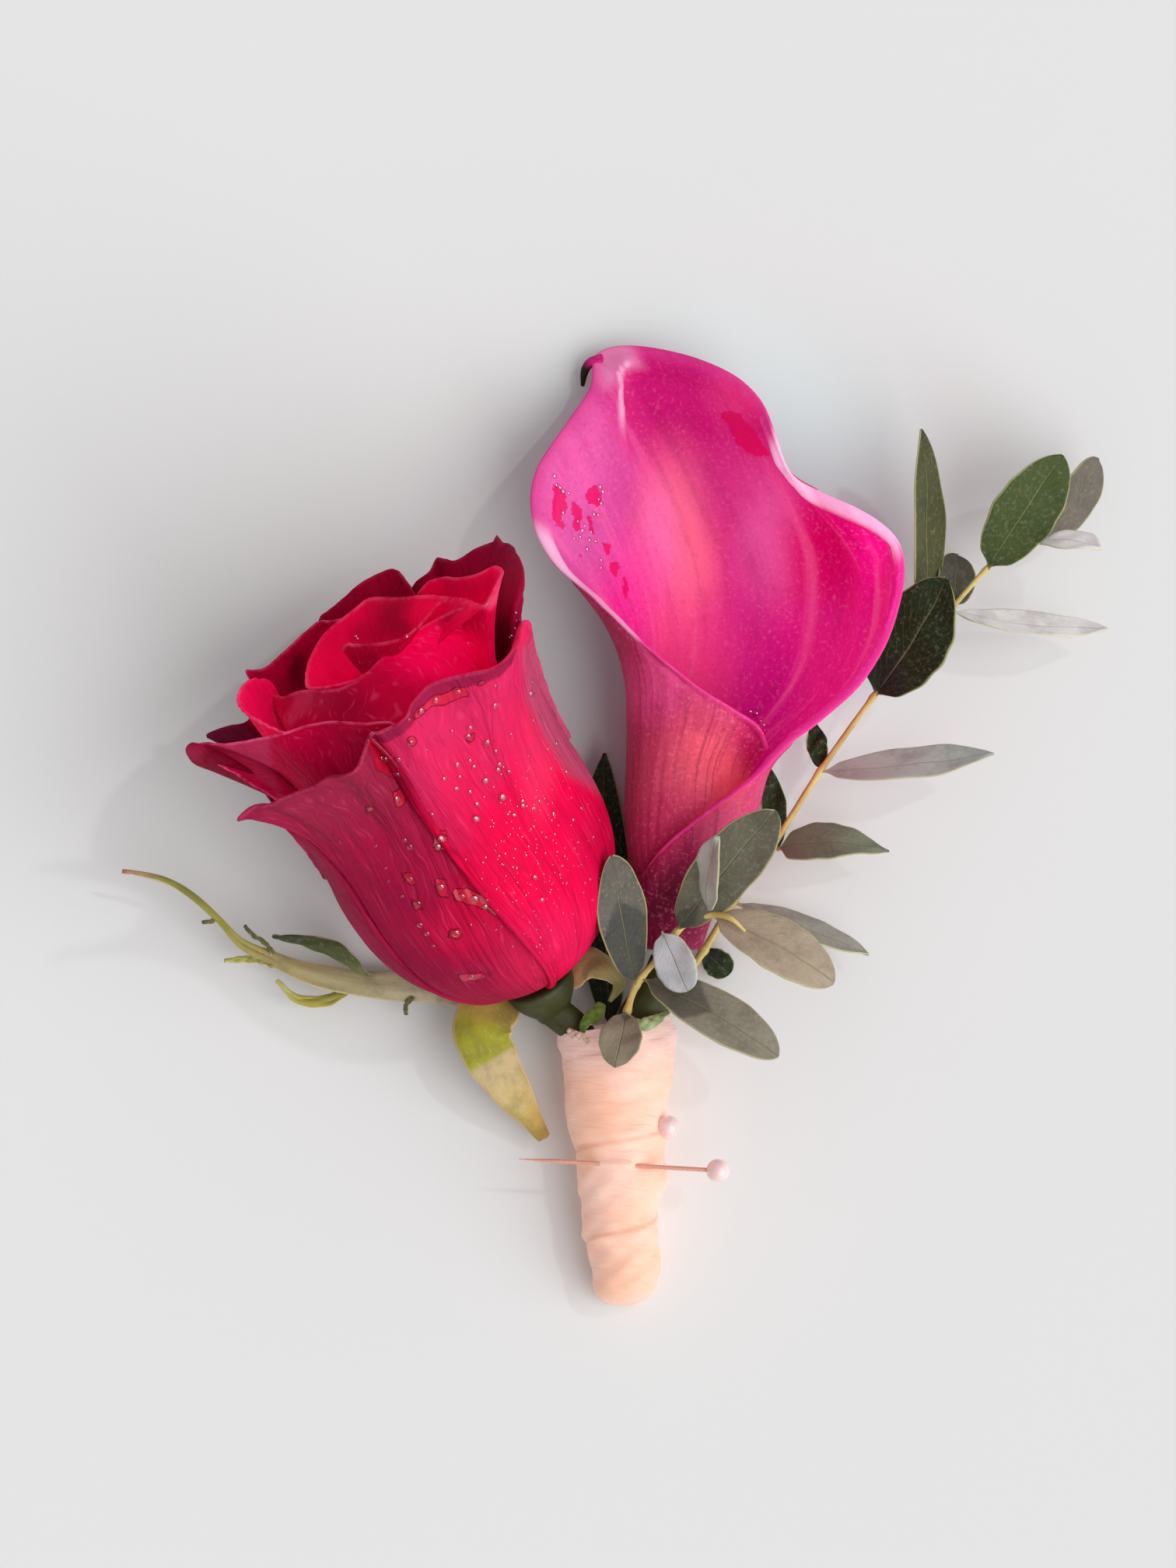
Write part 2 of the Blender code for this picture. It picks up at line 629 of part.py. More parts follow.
def rose_core(parts):
    """The closed middle that the petals stand out of."""
    outline = list(CORE_DOME)
    for height in CORE_HEIGHTS:
        outline.append((max(rose_radius(height) - CORE_INSET, CORE_LEAST_RADIUS), height))
    outline += [(0.0, 0.0)]
    return turned("rose_core", outline, CORE_SIDES, parts)


def turned(name, outline, steps, parts):
    """A profile of (radius, height) turned about the rose's axis, top to bottom."""
    mesh = bpy.data.meshes.new(name)
    points = [(r * MM, 0, h * MM) for r, h in outline]
    mesh.from_pydata(points, [(i, i + 1) for i in range(len(points) - 1)], [])
    made = bpy.data.objects.new(name, mesh)
    parts.objects.link(made)
    screw = made.modifiers.new("Turned", "SCREW")
    screw.axis = "Z"
    screw.steps = steps
    screw.render_steps = steps
    screw.use_merge_vertices = True
    screw.merge_threshold = 1e-6
    axis, front, right = rose_axes()
    upright = Matrix((front, right, axis)).transposed().to_4x4()
    made.matrix_world = Matrix.Translation(ROSE_BASE * MM) @ upright
    bpy.context.view_layer.update()
    return as_mesh(made, parts)


def make_rose_stem(parts):
    """The hip under the bloom, the sepals round it and the stem down into the wrap."""
    outline = [(0.0, -HIP_GAP)] + [(radius, height - HIP_GAP) for height, radius in HIP_PROFILE]
    outline += [(0.0, HIP_PROFILE[-1][0] - HIP_GAP)]
    pieces = [turned("hip", outline, HIP_SIDES, parts)]
    pieces.append(tube("stem", stem_route(ROSE_STEM), ROSE_STEM_RADII, parts))
    for name, sepal in SEPALS.items():
        pieces.append(ribbon(name, sepal, parts))
    return joined("rose_stem", pieces, parts)


def stem_route(pixels):
    return [spot(*place) for place in pixels]


def across_blade(along, lean):
    """The way across a blade that runs along a direction and leans about it."""
    flat = Vector((0, 0, 1)).cross(along).normalized()
    up = along.cross(flat).normalized()
    turn = math.radians(lean)
    return flat * math.cos(turn) + up * math.sin(turn)


def ribbon(name, sepal, parts):
    """A blade of changing width along a mid-line."""
    count = len(sepal["line"]) + 2
    places = [Vector(p) for p in smooth_through([tuple(spot(*p)) for p in sepal["line"]], count)]
    widths = np.interp(np.linspace(0, 1, count), np.linspace(0, 1, len(sepal["widths"])), sepal["widths"])
    rows = []
    for i, (place, width) in enumerate(zip(places, widths.tolist())):
        along = (places[min(i + 1, count - 1)] - places[max(i - 1, 0)]).normalized()
        side = across_blade(along, sepal["lean"])
        rise = side.cross(along).normalized() * width * SEPAL_FOLD
        rows.append([place + side * width / 2 + rise, place, place - side * width / 2 + rise])
    return as_mesh(sheet(name, rows, SEPAL_THICKNESS, 0, parts), parts)


# The calla
def calla_ring(climb):
    """The tube at a distance up from its foot: its middle, half width and half height."""
    columns = list(zip(*CALLA_TUBE))
    middle, half, share = (float(np.interp(climb, columns[0], column)) for column in columns[1:])
    foot_low = CALLA_FOOT_HEIGHT - CALLA_TUBE[0][2]
    low = foot_low + (CALLA_BACK_HEIGHT - foot_low) * eased(climb / TUBE_RISE)
    tall = half * share
    centre = spot(middle, CALLA_FOOT[1] - climb / PIXEL, low + tall)
    return centre, half, tall


def calla_point(climb, angle, slack):
    """A point on the tube, moved out by the slack that keeps its rolled layers apart."""
    centre, half, tall = calla_ring(climb)
    turn = math.radians(angle)
    return centre + Vector((math.sin(turn) * (half + slack), 0, math.cos(turn) * (tall + slack)))


def calla_rows():
    margin = [(*spot(across, down, height), angle) for across, down, height, angle in CALLA_MARGIN]
    foot = spot(*CALLA_FOOT, 0)
    rows = []
    for step in np.linspace(0, 1, CALLA_ROWS).tolist():
        row = []
        for i, (x, y, z, angle) in enumerate(margin):
            top = y - foot.y
            slack = CALLA_LAYER_GAP * (i / (len(margin) - 1) - 0.5)
            pull = max(0.0, (step - CALLA_FLARE_START) / (1 - CALLA_FLARE_START)) ** CALLA_FLARE_POWER
            miss = Vector((x, y, z)) - calla_point(top, angle, slack)
            row.append(calla_point(top * step, angle, slack) + miss * pull)
        rows.append(row)
    return rows


def make_calla_spathe(parts):
    blade = as_mesh(sheet("spathe", calla_rows(), SPATHE_THICKNESS, 0, parts), parts)
    tail = tube("tail", [spot(*p[:3]) for p in CALLA_TAIL], [p[3] for p in CALLA_TAIL], parts)
    return joined("calla_spathe", [blade, tail], parts)


def make_calla_stem(parts):
    route = stem_route(CALLA_STEM)
    foot = spot(*SPADIX_FOOT)
    up_to_spadix = [route[0], route[0].lerp(foot, 0.5), foot]
    neck = tube("neck", up_to_spadix, (CALLA_NECK_RADIUS,), parts)
    return joined("calla_stem", [tube("stem", route, CALLA_STEM_RADII, parts), neck], parts)


def make_spadix(parts):
    foot, tip = spot(*SPADIX_FOOT), spot(*SPADIX_TIP)
    along = (tip - foot).normalized()
    start = foot + along * STEM_GAP
    shares = np.linspace(0, 1, len(SPADIX_RADII)).tolist()
    return tube("calla_spadix", [start.lerp(tip, share) for share in shares], SPADIX_RADII, parts)


# The eucalyptus
def leaf(name, root, tip, width, lean, arch, bow, parts):
    """A thin pointed blade, arched and bowed, with a slight fold along its rib."""
    start, end = spot(*root), spot(*tip)
    along = (end - start).normalized()
    side = across_blade(along, lean)
    up = side.cross(along).normalized()
    if up.z < 0:
        up = -up
    bend = Vector((0, 0, 1)) * arch + Vector((0, 0, 1)).cross(along).normalized() * bow
    rows = []
    for share in LEAF_STATIONS:
        half = width / 2 * max(math.sin(math.pi * share**0.85) ** 0.8, LEAF_LEAST_SHARE)
        middle = start.lerp(end, share) + bend * 4 * share * (1 - share)
        edge = up * half * LEAF_FOLD
        rows.append([middle + side * half + edge, middle, middle - side * half + edge])
    return as_mesh(sheet(name, rows, LEAF_THICKNESS, 0, parts), parts)


def make_sprig(name, stem, radii, leaves, parts):
    pieces = [tube(name + "_stem", stem_route(stem), radii, parts)]
    for i, blade in enumerate(leaves):
        pieces.append(leaf(f"{name}_leaf_{i}", *blade, parts))
    return joined(name, pieces, parts)


# The wrap and its pins
def wrap_ring(row, left, right, deep, inset=0.0):
    """One oval ring of the wrap, whose underside lies on the surface."""
    middle = spot((left + right) / 2, row, deep / 2 - WRAP_SINK)
    half = (right - left) / 2 * PIXEL - inset
    tall = deep / 2 - inset
    slant = MOUTH_SLANT * max(0, 1 - max(0, row - WRAP_ROWS[0][0]) / SLANT_FADE)
    ring = []
    for i in range(WRAP_SIDES):
        turn = 2 * math.pi * i / WRAP_SIDES
        across = math.sin(turn) * half
        ring.append(middle + Vector((across, across * slant, math.cos(turn) * tall)))
    return ring


def make_wrap(parts, cutters):
    """The wound tape: an open mouth, and a plain hole below it for each stem."""
    rings = [wrap_ring(*row) for row in WRAP_ROWS]
    wrap = loft("stem_wrap", rings, parts)
    top = WRAP_ROWS[0]
    mouth_rows = [(top[0] - ABOVE_MOUTH, *top[1:]), *WRAP_ROWS[:MOUTH_RINGS]]
    cut(wrap, loft("mouth", [wrap_ring(*row, inset=MOUTH_WALL) for row in mouth_rows], cutters))
    for name, (route, radii) in STEMS.items():
        cut(wrap, stem_hole(name, stem_route(route), radii, cutters))
    return wrap


def stem_hole(name, route, radii, cutters):
    """The hole that a stem stands in: a little wider than it and a little deeper."""
    low, high = (0, -1) if route[0].y < route[-1].y else (-1, 0)
    beyond = (route[low] - route[1 if low == 0 else -2]).normalized() * STEM_GAP
    ends = list(route)
    ends[low] = ends[low] + beyond
    return tube(name + "_hole", ends, [r + STEM_GAP for r in radii], cutters)


def make_pin(name, tip, head, parts, cutters, wrap):
    """A pointed shaft and its pearl, each in its own hole in the wrap."""
    point, ball = spot(*tip), spot(*head)
    along = (ball - point).normalized()
    end = ball - along * (PEARL_RADIUS - PEARL_HOLE_DEPTH + STEM_GAP)
    length = (end - point).length
    share = PIN_POINT / length
    places = [point, point.lerp(end, share), point.lerp(end, 0.5), end]
    shaft = straight_rod(name + "_shaft", places, (0.04, PIN_RADIUS, PIN_RADIUS, PIN_RADIUS), parts)
    pearl = round_ball(name + "_pearl", ball, PEARL_RADIUS, parts)
    beyond = ball - along * (PEARL_RADIUS + 1)
    inner = ball - along * (PEARL_RADIUS - PEARL_HOLE_DEPTH)
    hole = straight_rod(name + "_pearl_hole", [beyond, inner], (PIN_RADIUS + PIN_GAP,) * 2, cutters)
    cut(pearl, hole)
    through = [point - along * STEM_GAP, ball]
    cut(wrap, straight_rod(name + "_wrap_hole", through, (PIN_RADIUS + PIN_GAP,) * 2, cutters))
    return shaft, pearl


def straight_rod(name, places, radii, home):
    """A rod of changing radius through places on one line."""
    along = (places[-1] - places[0]).normalized()
    side = along.orthogonal().normalized()
    other = along.cross(side)
    rings = []
    for place, radius in zip(places, radii):
        ring = []
        for i in range(ROD_SIDES):
            turn = 2 * math.pi * i / ROD_SIDES
            ring.append(place + (side * math.cos(turn) + other * math.sin(turn)) * radius)
        rings.append(ring)
    return loft(name, rings, home)


def round_ball(name, centre, radius, home):
    bpy.ops.mesh.primitive_uv_sphere_add(segments=16, ring_count=10, radius=radius * MM)
    ball = bpy.context.object
    ball.name = name
    ball.location = centre * MM
    for holder in list(ball.users_collection):
        holder.objects.unlink(ball)
    home.objects.link(ball)
    return ball


def main():
    for thing in list(bpy.data.objects):
        bpy.data.objects.remove(thing)
    parts = collection("corsage")
    cutters = collection("cutters")
    surface = bed(cutters)
    bloom = make_rose_bloom(parts)
    cut(bloom, surface, "MANIFOLD")
    finish(bloom, "rose_bloom")
    stem = make_rose_stem(parts)
    finish(stem, "rose_stem")
    spathe = make_calla_spathe(parts)
    cut(spathe, surface, "MANIFOLD")
    finish(spathe, "calla_spathe")
    finish(make_calla_stem(parts), "calla_stem")
    finish(make_spadix(parts), "calla_spadix")
    long_sprig = make_sprig("eucalyptus_long", LONG_STEM, LONG_STEM_RADII, LONG_LEAVES, parts)
    finish(long_sprig, "eucalyptus_long")
    short_sprig = make_sprig("eucalyptus_short", SHORT_STEM, SHORT_STEM_RADII, SHORT_LEAVES, parts)
    finish(short_sprig, "eucalyptus_short")
    backing = leaf("backing_leaf", *BACKING_LEAF, parts)
    finish(backing, "backing_leaf")
    wrap = make_wrap(parts, cutters)
    cut(wrap, surface)
    for name, tip, head in (("pin_a", PIN_A_TIP, PIN_A_HEAD), ("pin_b", PIN_B_TIP, PIN_B_HEAD)):
        shaft, pearl = make_pin(name, tip, head, parts, cutters, wrap)
        finish(shaft, "pin")
        finish(pearl, "pearl")
    pocket = round_ball("pearl_pocket", spot(*PIN_B_HEAD), PEARL_RADIUS + PEARL_POCKET_GAP, cutters)
    cut(wrap, pocket)
    finish(wrap, "stem_wrap")


main()
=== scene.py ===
"""The finished looks of a boutonniere: a red rose, a magenta calla and two eucalyptus sprigs in a taped wrap.

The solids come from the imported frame. Every piece here repeats their curves in finer steps and adds
what they leave out: curled lips, veins, drops of water and the folds of the tape.
Sizes are in millimetres, and a mesh is made in metres. +Z is up and +Y points from wrap to flowers.
"""

import math

import bmesh
import bpy
import numpy as np
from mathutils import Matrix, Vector
from mathutils.bvhtree import BVHTree


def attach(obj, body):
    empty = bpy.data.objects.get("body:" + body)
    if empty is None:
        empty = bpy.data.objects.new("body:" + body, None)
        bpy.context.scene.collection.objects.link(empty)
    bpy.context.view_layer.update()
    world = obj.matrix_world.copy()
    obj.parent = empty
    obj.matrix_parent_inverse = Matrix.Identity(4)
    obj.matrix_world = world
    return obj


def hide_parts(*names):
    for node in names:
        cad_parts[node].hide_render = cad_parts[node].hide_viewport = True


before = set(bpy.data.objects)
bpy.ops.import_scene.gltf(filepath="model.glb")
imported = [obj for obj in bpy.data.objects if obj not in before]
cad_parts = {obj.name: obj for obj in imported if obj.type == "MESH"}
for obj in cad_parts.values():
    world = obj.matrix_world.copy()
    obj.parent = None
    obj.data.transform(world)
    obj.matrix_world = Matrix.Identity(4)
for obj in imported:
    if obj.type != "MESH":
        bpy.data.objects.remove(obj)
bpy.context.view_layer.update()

MM = 0.001

# The straight-down view: a pixel is PIXEL wide at SCALE_HEIGHT above the surface.
EYE = (-4.1, 6.6, 1000.0)
PIXEL_UNDER_EYE = (756, 1008)
PICTURE_HEIGHT = 2016
PIXEL = 0.12
SCALE_HEIGHT = 15.0

ROSE_BASE = np.array([-12.1, -23.5, 10.1])
ROSE_TILT = math.radians(26)
ROSE_HEADING = (-0.458, 0.889)
ROSE_PROFILE = (
    (0, 3.6), (3, 9.8), (7, 14.6), (12, 18.3), (18, 20.6), (24, 21.4),
    (30, 21.3), (38, 20.5), (46, 20.3), (52, 21.0), (58, 22.5), (66, 24.5),
)
OUTER_START = 0.4
INNER_START = 38.0
OUTER_THICKNESS = 0.45
INNER_THICKNESS = 0.35
# The shares of a petal's length where its lip begins to turn out and where the painted highlight along its rim begins.
OUTER_LIP, OUTER_RIM_HIGHLIGHT = 0.965, 0.985
INNER_LIP, INNER_RIM_HIGHLIGHT = 0.96, 0.98
# What starts each piece's random draws.
SEEDS = {"petals": 10, "sepals": 40, "calla": 71, "tape": 91, "long": 200, "short": 230, "backing": 260,
         "drops": 1000, "spray": 5}

# Each petal's rim, left to right: the pixel where it is seen and its height along the rose's axis.
# inset: how far inside the body it lies. roll: how far its lip curls. Then its painted sheen: how strongly
# that sheen pales its outside towards the rim, and from where, and its colour there. Then its lip shade: a
# line of painted shade under the rolled lip. edge: how strong the painted highlight along the rim is.
# tones: its colours from left to right, which on some petals hold painted light and shade.
# base: how narrow its left and right are at the foot, and how soon they open. glow: painted light, as
# emission, for the light that comes through it. spots: pixels, half sizes in mm, colours and strengths
# painted on it. patches: outlines in pixels, colours, soft edges in mm and strengths. Some of the spots
# and patches are painted shade, highlights and sheen.
# What a petal doesn't say is as usual for the outer or the inner ones.
OUTER_USUAL = dict(roll=0.4, band=0.0, edge=0.2, base=(0.62, 0.62, 2.0), glow=0.0, spots=(), patches=())
INNER_USUAL = dict(dusk=(0, 0.9), dusk_tone=(0, 0, 0), band=0.0, edge=0.3, base=(1, 1, 2.0), spots=(), patches=())
OUTER_PETALS = {
    "front_right": dict(
        inset=-0.45, roll=0.7, dusk=(0.85, 0.4), dusk_tone=(212, 42, 96), band=1.0, edge=0.3,
        base=(0.6, 0.95, 1.2), glow=0.03,
        tones=((0, (206, 6, 60)), (0.2, (232, 2, 70)), (0.75, (238, 2, 72)), (1, (220, 12, 74))),
        # The last three spots are painted shadow in the pocket between this lip and the front left petal.
        spots=(
            ((690, 960), (3.5, 13), (240, 50, 98), 0.7), ((775, 1080), (5, 9), (196, 0, 60), 0.8),
            ((700, 1210), (11, 7), (232, 26, 88), 0.7), ((600, 1190), (8, 8), (190, 14, 70), 0.7),
            ((655, 1120), (7, 9), (250, 4, 72), 0.5), ((504, 968), (2.8, 4.5), (150, 10, 50), 0.8),
            ((521, 1004), (2.8, 4.5), (138, 4, 46), 0.85), ((541, 1044), (2.6, 4.5), (172, 8, 60), 0.7),
        ),
        rim=(
            (514, 985, 53), (503, 970, 55.7), (489, 955, 58.4), (477, 943, 60.4), (490, 941, 60.8), (503, 936, 61),
            (515, 931, 61.3), (525, 922, 61.6), (530, 908, 62.2), (538, 896, 62.8), (550, 883, 63.2), (571, 874, 63),
            (602, 867, 62.5), (628, 863, 61.8), (649, 851, 61.4), (660, 833, 61.2), (664, 812, 60.9), (668, 804, 60.3),
            (674, 806, 59.3), (678, 820, 57), (684, 850, 51), (699, 895, 43), (712, 925, 37), (727, 957, 32),
        ),
    ),
    "front_left": dict(
        inset=0.15, roll=0.5, dusk=(0.75, 0.5), dusk_tone=(152, 36, 68), band=0.3, edge=0.35,
        base=(0.8, 0.9, 1.2),
        tones=((0, (176, 34, 80)), (0.3, (166, 22, 66)), (0.8, (168, 14, 60)), (1, (168, 8, 56))),
        # The first spot is painted shadow in the pocket under the front right petal's lip.
        spots=(
            ((500, 1010), (5, 7), (126, 0, 42), 0.6), ((560, 1240), (14, 5), (146, 12, 58), 0.6),
            ((600, 1194), (8, 6), (212, 14, 68), 0.75), ((690, 1236), (8, 6), (216, 30, 78), 0.7),
            ((604, 1156), (4, 5), (198, 0, 52), 0.6),
        ),
        rim=(
            (667, 1043, 34.6), (606, 991, 44.6), (543, 975, 51), (500, 950, 57.2), (478, 946, 59.8), (470, 966, 59.5),
            (460, 989, 58.5), (441, 998, 58), (427, 998, 58), (410, 1009, 57.5), (388, 1018, 57.5), (366, 1028, 57.3),
            (347, 1037, 57), (331, 1037, 56.8), (318, 1045, 56.5), (310, 1054, 56), (322, 1051, 55), (338, 1049, 53.5),
            (352, 1048, 52), (366, 1058, 50), (382, 1077, 46), (402, 1100, 40), (424, 1130, 32),
        ),
    ),
    "back_left": dict(
        inset=0.7, dusk=(0.8, 0.5), dusk_tone=(120, 34, 70),
        tones=((0, (116, 26, 62)), (1, (120, 20, 60))),
        spots=(((400, 1110), (7, 12), (166, 44, 80), 0.9), ((480, 1230), (12, 10), (156, 28, 70), 0.9)),
        rim=(
            (425, 1125, 34), (380, 1060, 42), (330, 1000, 50), (285, 958, 56), (268, 946, 58), (283, 937, 58.5),
            (300, 931, 58.5), (322, 925, 58), (330, 900, 57.5), (351, 876, 57), (403, 857, 55), (470, 884, 48),
            (531, 937, 38),
        ),
    ),
    "back_middle": dict(
        inset=1.1, dusk=(0.6, 0.5), dusk_tone=(150, 44, 86),
        tones=((0, (150, 14, 56)), (1, (150, 14, 56))),
        rim=(
            (485, 984, 36), (479, 899, 46), (479, 821, 54), (510, 779, 56.5), (555, 769, 56), (597, 802, 52),
            (638, 865, 44), (688, 934, 34),
        ),
    ),
    "back_right": dict(
        inset=0.3, dusk=(1.0, 0.1), dusk_tone=(164, 70, 108),
        tones=((0, (168, 60, 108)), (0.5, (172, 40, 92)), (1, (160, 20, 64))),
        rim=(
            (616, 907, 38), (601, 836, 48), (614, 785, 54), (641, 771, 56), (661, 795, 55), (673, 817, 53),
            (681, 868, 47), (701, 909, 41), (736, 973, 32),
        ),
    ),
}
INNER_PETALS = {
    "left_lip": dict(
        inset=1.6, roll=0.14, edge=0.9, glow=0.18,
        tones=((0, (196, 14, 70)), (0.3, (196, 0, 62)), (0.7, (196, 0, 60)), (1, (170, 0, 50))),
        # The patch is a painted sheen on the petal's outside.
        patches=((((250, 950), (290, 950), (347, 945), (350, 985), (362, 1026), (342, 1007), (318, 988), (285, 968)),
                  (196, 46, 92), 1.6, 0.85),),
        rim=(
            (518, 943, 57.5), (500, 929, 60), (465, 931, 61.8), (430, 928.5, 62.4), (403, 930, 62.6),
            (384, 936, 62.9), (368, 942, 63.1), (347, 948, 63.2), (311, 955, 63.2), (287, 958, 63.2),
            (262, 957, 63.3), (254, 961, 62.8), (264, 971, 61), (290, 987, 58), (320, 1005, 54), (350, 1024, 50),
            (386, 1047, 44),
        ),
    ),
    "far_right": dict(
        inset=1.4, roll=0.1, edge=0.15, glow=0.06,
        tones=((0, (140, 0, 46)), (0.5, (150, 2, 50)), (1, (146, 0, 46))),
        # The second spot is painted shade in a narrow gap.
        spots=(((662, 748), (3, 5), (166, 22, 66), 0.7), ((650, 820), (3, 4), (84, 0, 28), 0.9)),
        rim=(
            (533, 829, 52), (529, 769, 59), (534, 750, 61.5), (551, 736, 62.5), (560, 719, 63), (572, 719, 63),
            (584, 721, 62.5), (600, 713, 62.5),
            (615, 705, 62.8), (630, 700, 63), (636, 698, 63.2), (640, 690, 63.7), (645, 699, 63.3), (656, 703, 63.3),
            (664, 714, 63), (670, 724, 62.5), (675, 738, 61.5), (672, 762, 59), (668, 792, 55), (664, 822, 50),
        ),
    ),
    "far_middle": dict(
        inset=2.2, roll=0.1, edge=0.2, glow=0.1,
        tones=((0, (172, 2, 52)), (0.5, (160, 0, 46)), (1, (148, 0, 44))),
        rim=(
            (556, 809, 54), (536, 768, 60), (522, 746, 62), (511, 734, 63), (495, 735, 63), (472, 745, 63),
            (446, 766, 62.5), (425, 784, 62), (410, 798, 61.5), (414, 830, 58),
        ),
    ),
    "far_left": dict(
        inset=2.0, roll=0.1, edge=0.5, glow=0.16,
        tones=((0, (176, 2, 54)), (1, (172, 2, 52))),
        # The spot is painted shade in a gap between petals.
        spots=(((384, 866), (2.2, 4), (96, 0, 28), 0.8),),
        rim=(
            (480, 775, 60.5), (469, 774, 62), (451, 790, 62.5), (428, 798, 62.5), (410, 799, 62.5), (389, 816, 62.5),
            (376, 829, 62.5), (358, 844, 62.5), (342, 857, 62.5), (329, 861, 62.5), (316, 862, 63), (321, 876, 61.5),
            (334, 903, 59), (362, 954, 53),
        ),
    ),
    "left_inner": dict(
        inset=2.8, roll=0.28, edge=0.6, glow=0.3,
        tones=((0, (240, 8, 82)), (1, (244, 8, 84))),
        rim=(
            (352, 880, 60), (339, 874, 61.5), (321, 875, 63), (308, 896, 64), (313, 912, 64), (328, 924, 64),
            (347, 934, 63.2), (368, 942, 61.8), (390, 952, 59.5), (410, 964, 57.5),
        ),
    ),
    "heart_right": dict(
        inset=4.0, roll=0.08, glow=0.34,
        # The tones hold painted light and shade: darker to the left, brightest right of the middle. The brightest spot
        # is a painted highlight, the darkest ones painted shade.
        tones=((0, (164, 8, 54)), (0.25, (166, 0, 46)), (0.42, (200, 0, 56)), (0.56, (240, 0, 72)),
               (0.8, (240, 2, 72)), (0.92, (206, 0, 60)), (1, (160, 0, 44))),
        spots=(
            ((550, 835), (8, 6), (255, 0, 88), 0.9), ((590, 850), (8, 5), (246, 0, 80), 0.6),
            ((589, 794), (5, 2.5), (150, 0, 42), 0.8), ((623, 800), (3, 4), (186, 0, 54), 0.7),
            ((440, 905), (6, 4), (146, 0, 42), 0.8), ((400, 900), (4, 3), (164, 22, 62), 0.6),
            ((600, 748), (7, 3), (190, 4, 58), 0.8), ((550, 756), (3, 2.5), (230, 0, 64), 0.8),
        ),
        patches=((((650, 730), (656, 738), (650, 756), (641, 772), (629, 783), (620, 778), (633, 765), (641, 748)),
                  (222, 76, 116), 0.7, 0.8),
                 (((384, 890), (404, 888), (400, 912), (372, 934), (362, 926), (376, 908)), (176, 40, 78), 1.2, 0.8)),
        rim=(
            (357, 927, 58), (350, 905, 60.5), (352, 895, 62), (364, 896, 62.6), (375, 892, 62.6), (384, 888, 62.6),
            (396, 886, 62.7), (412, 887, 62.7), (436, 884, 62.6), (452, 877, 62.5), (466, 868, 62.5), (485, 850, 62.6),
            (496, 842, 62.8), (509, 832, 63), (520, 822, 63.3), (531, 813, 63.6), (548, 803, 63.8), (566, 793, 64),
            (584, 785, 64.2), (602, 781, 64.4), (615, 781, 64.6), (626, 777, 64.7), (632, 766, 64.8), (640, 750, 65),
            (648, 735, 65.2), (636, 727, 65.2), (612, 738, 65.1), (590, 743, 65), (570, 743, 64.8), (551, 748, 64.5),
            (540, 758, 63.5), (534, 768, 62),
        ),
    ),
    "heart_left": dict(
        inset=17.0, roll=0.06, glow=0.34,
        tones=((0, (222, 0, 64)), (0.3, (214, 0, 60)), (1, (216, 0, 62))),
        # The darkest spots are painted shade deep in the heart, the brightest ones painted light.
        spots=(
            ((511, 795), (4.5, 5), (150, 0, 40), 0.9), ((472, 815), (3.5, 2.5), (160, 0, 42), 0.7),
            ((436, 862), (5, 3), (238, 0, 68), 0.7), ((550, 790), (4, 3), (236, 0, 66), 0.8),
            ((478, 785), (1.2, 4), (196, 0, 54), 0.6),
        ),
        rim=(
            (469, 866, 61.5), (459, 874, 62), (436, 881, 62.5), (412, 885, 62.7), (393, 883, 63), (394, 862, 63),
            (402, 839, 63.2), (417, 816, 63.4), (436, 800, 63.6), (456, 784, 64), (472, 771, 64.3), (490, 768, 64.6),
            (516, 769, 64.8), (534, 767, 65), (553, 765, 65), (579, 768, 64.8), (602, 771, 64.4),
        ),
    ),
    "heart_middle": dict(
        inset=20.5, roll=0.04, glow=0.3,
        # The tones and spots hold painted shade: darkest to the left of its outside and in its first spot.
        tones=((0, (176, 0, 50)), (0.5, (196, 0, 56)), (1, (232, 0, 66))),
        spots=(((470, 850), (3.5, 3), (146, 0, 40), 0.9), ((500, 835), (4, 2), (180, 0, 50), 0.6)),
        rim=(
            (441, 836, 64), (446, 829, 64.5), (458, 829, 65), (469, 830, 65.5), (491, 828, 65.5), (514, 823, 65.3),
            (524, 818, 65.2), (540, 805, 65), (553, 792, 65), (566, 775, 65), (579, 769, 65), (602, 771, 64.9),
            (615, 776, 64.8), (623, 779, 64.6),
        ),
    ),
}
# The left lip's edge, which rolls over outwards: its upper and its lower line, with heights in mm.
LIP_ROLL = (
    ((247, 955, 43), (262, 958, 43.5), (287, 968, 42), (323, 991, 38), (342, 1008, 35), (362, 1028, 32)),
    ((243, 957, 42), (239, 964, 41), (243, 974, 39), (252, 983, 37.5), (275, 992, 35), (311, 1007, 32),
     (342, 1021, 29.5), (358, 1031, 28.5)),
)
LIP_ROLL_ARCH = 1.1
LIP_ROLL_THICKNESS = 0.4
LIP_ROLL_TONE = (150, 0, 46)
# The spot on the roll is a painted highlight near its tip.
LIP_ROLL_HIGHLIGHT = (((246, 962), (2.5, 2.5), (196, 34, 84), 0.8),)
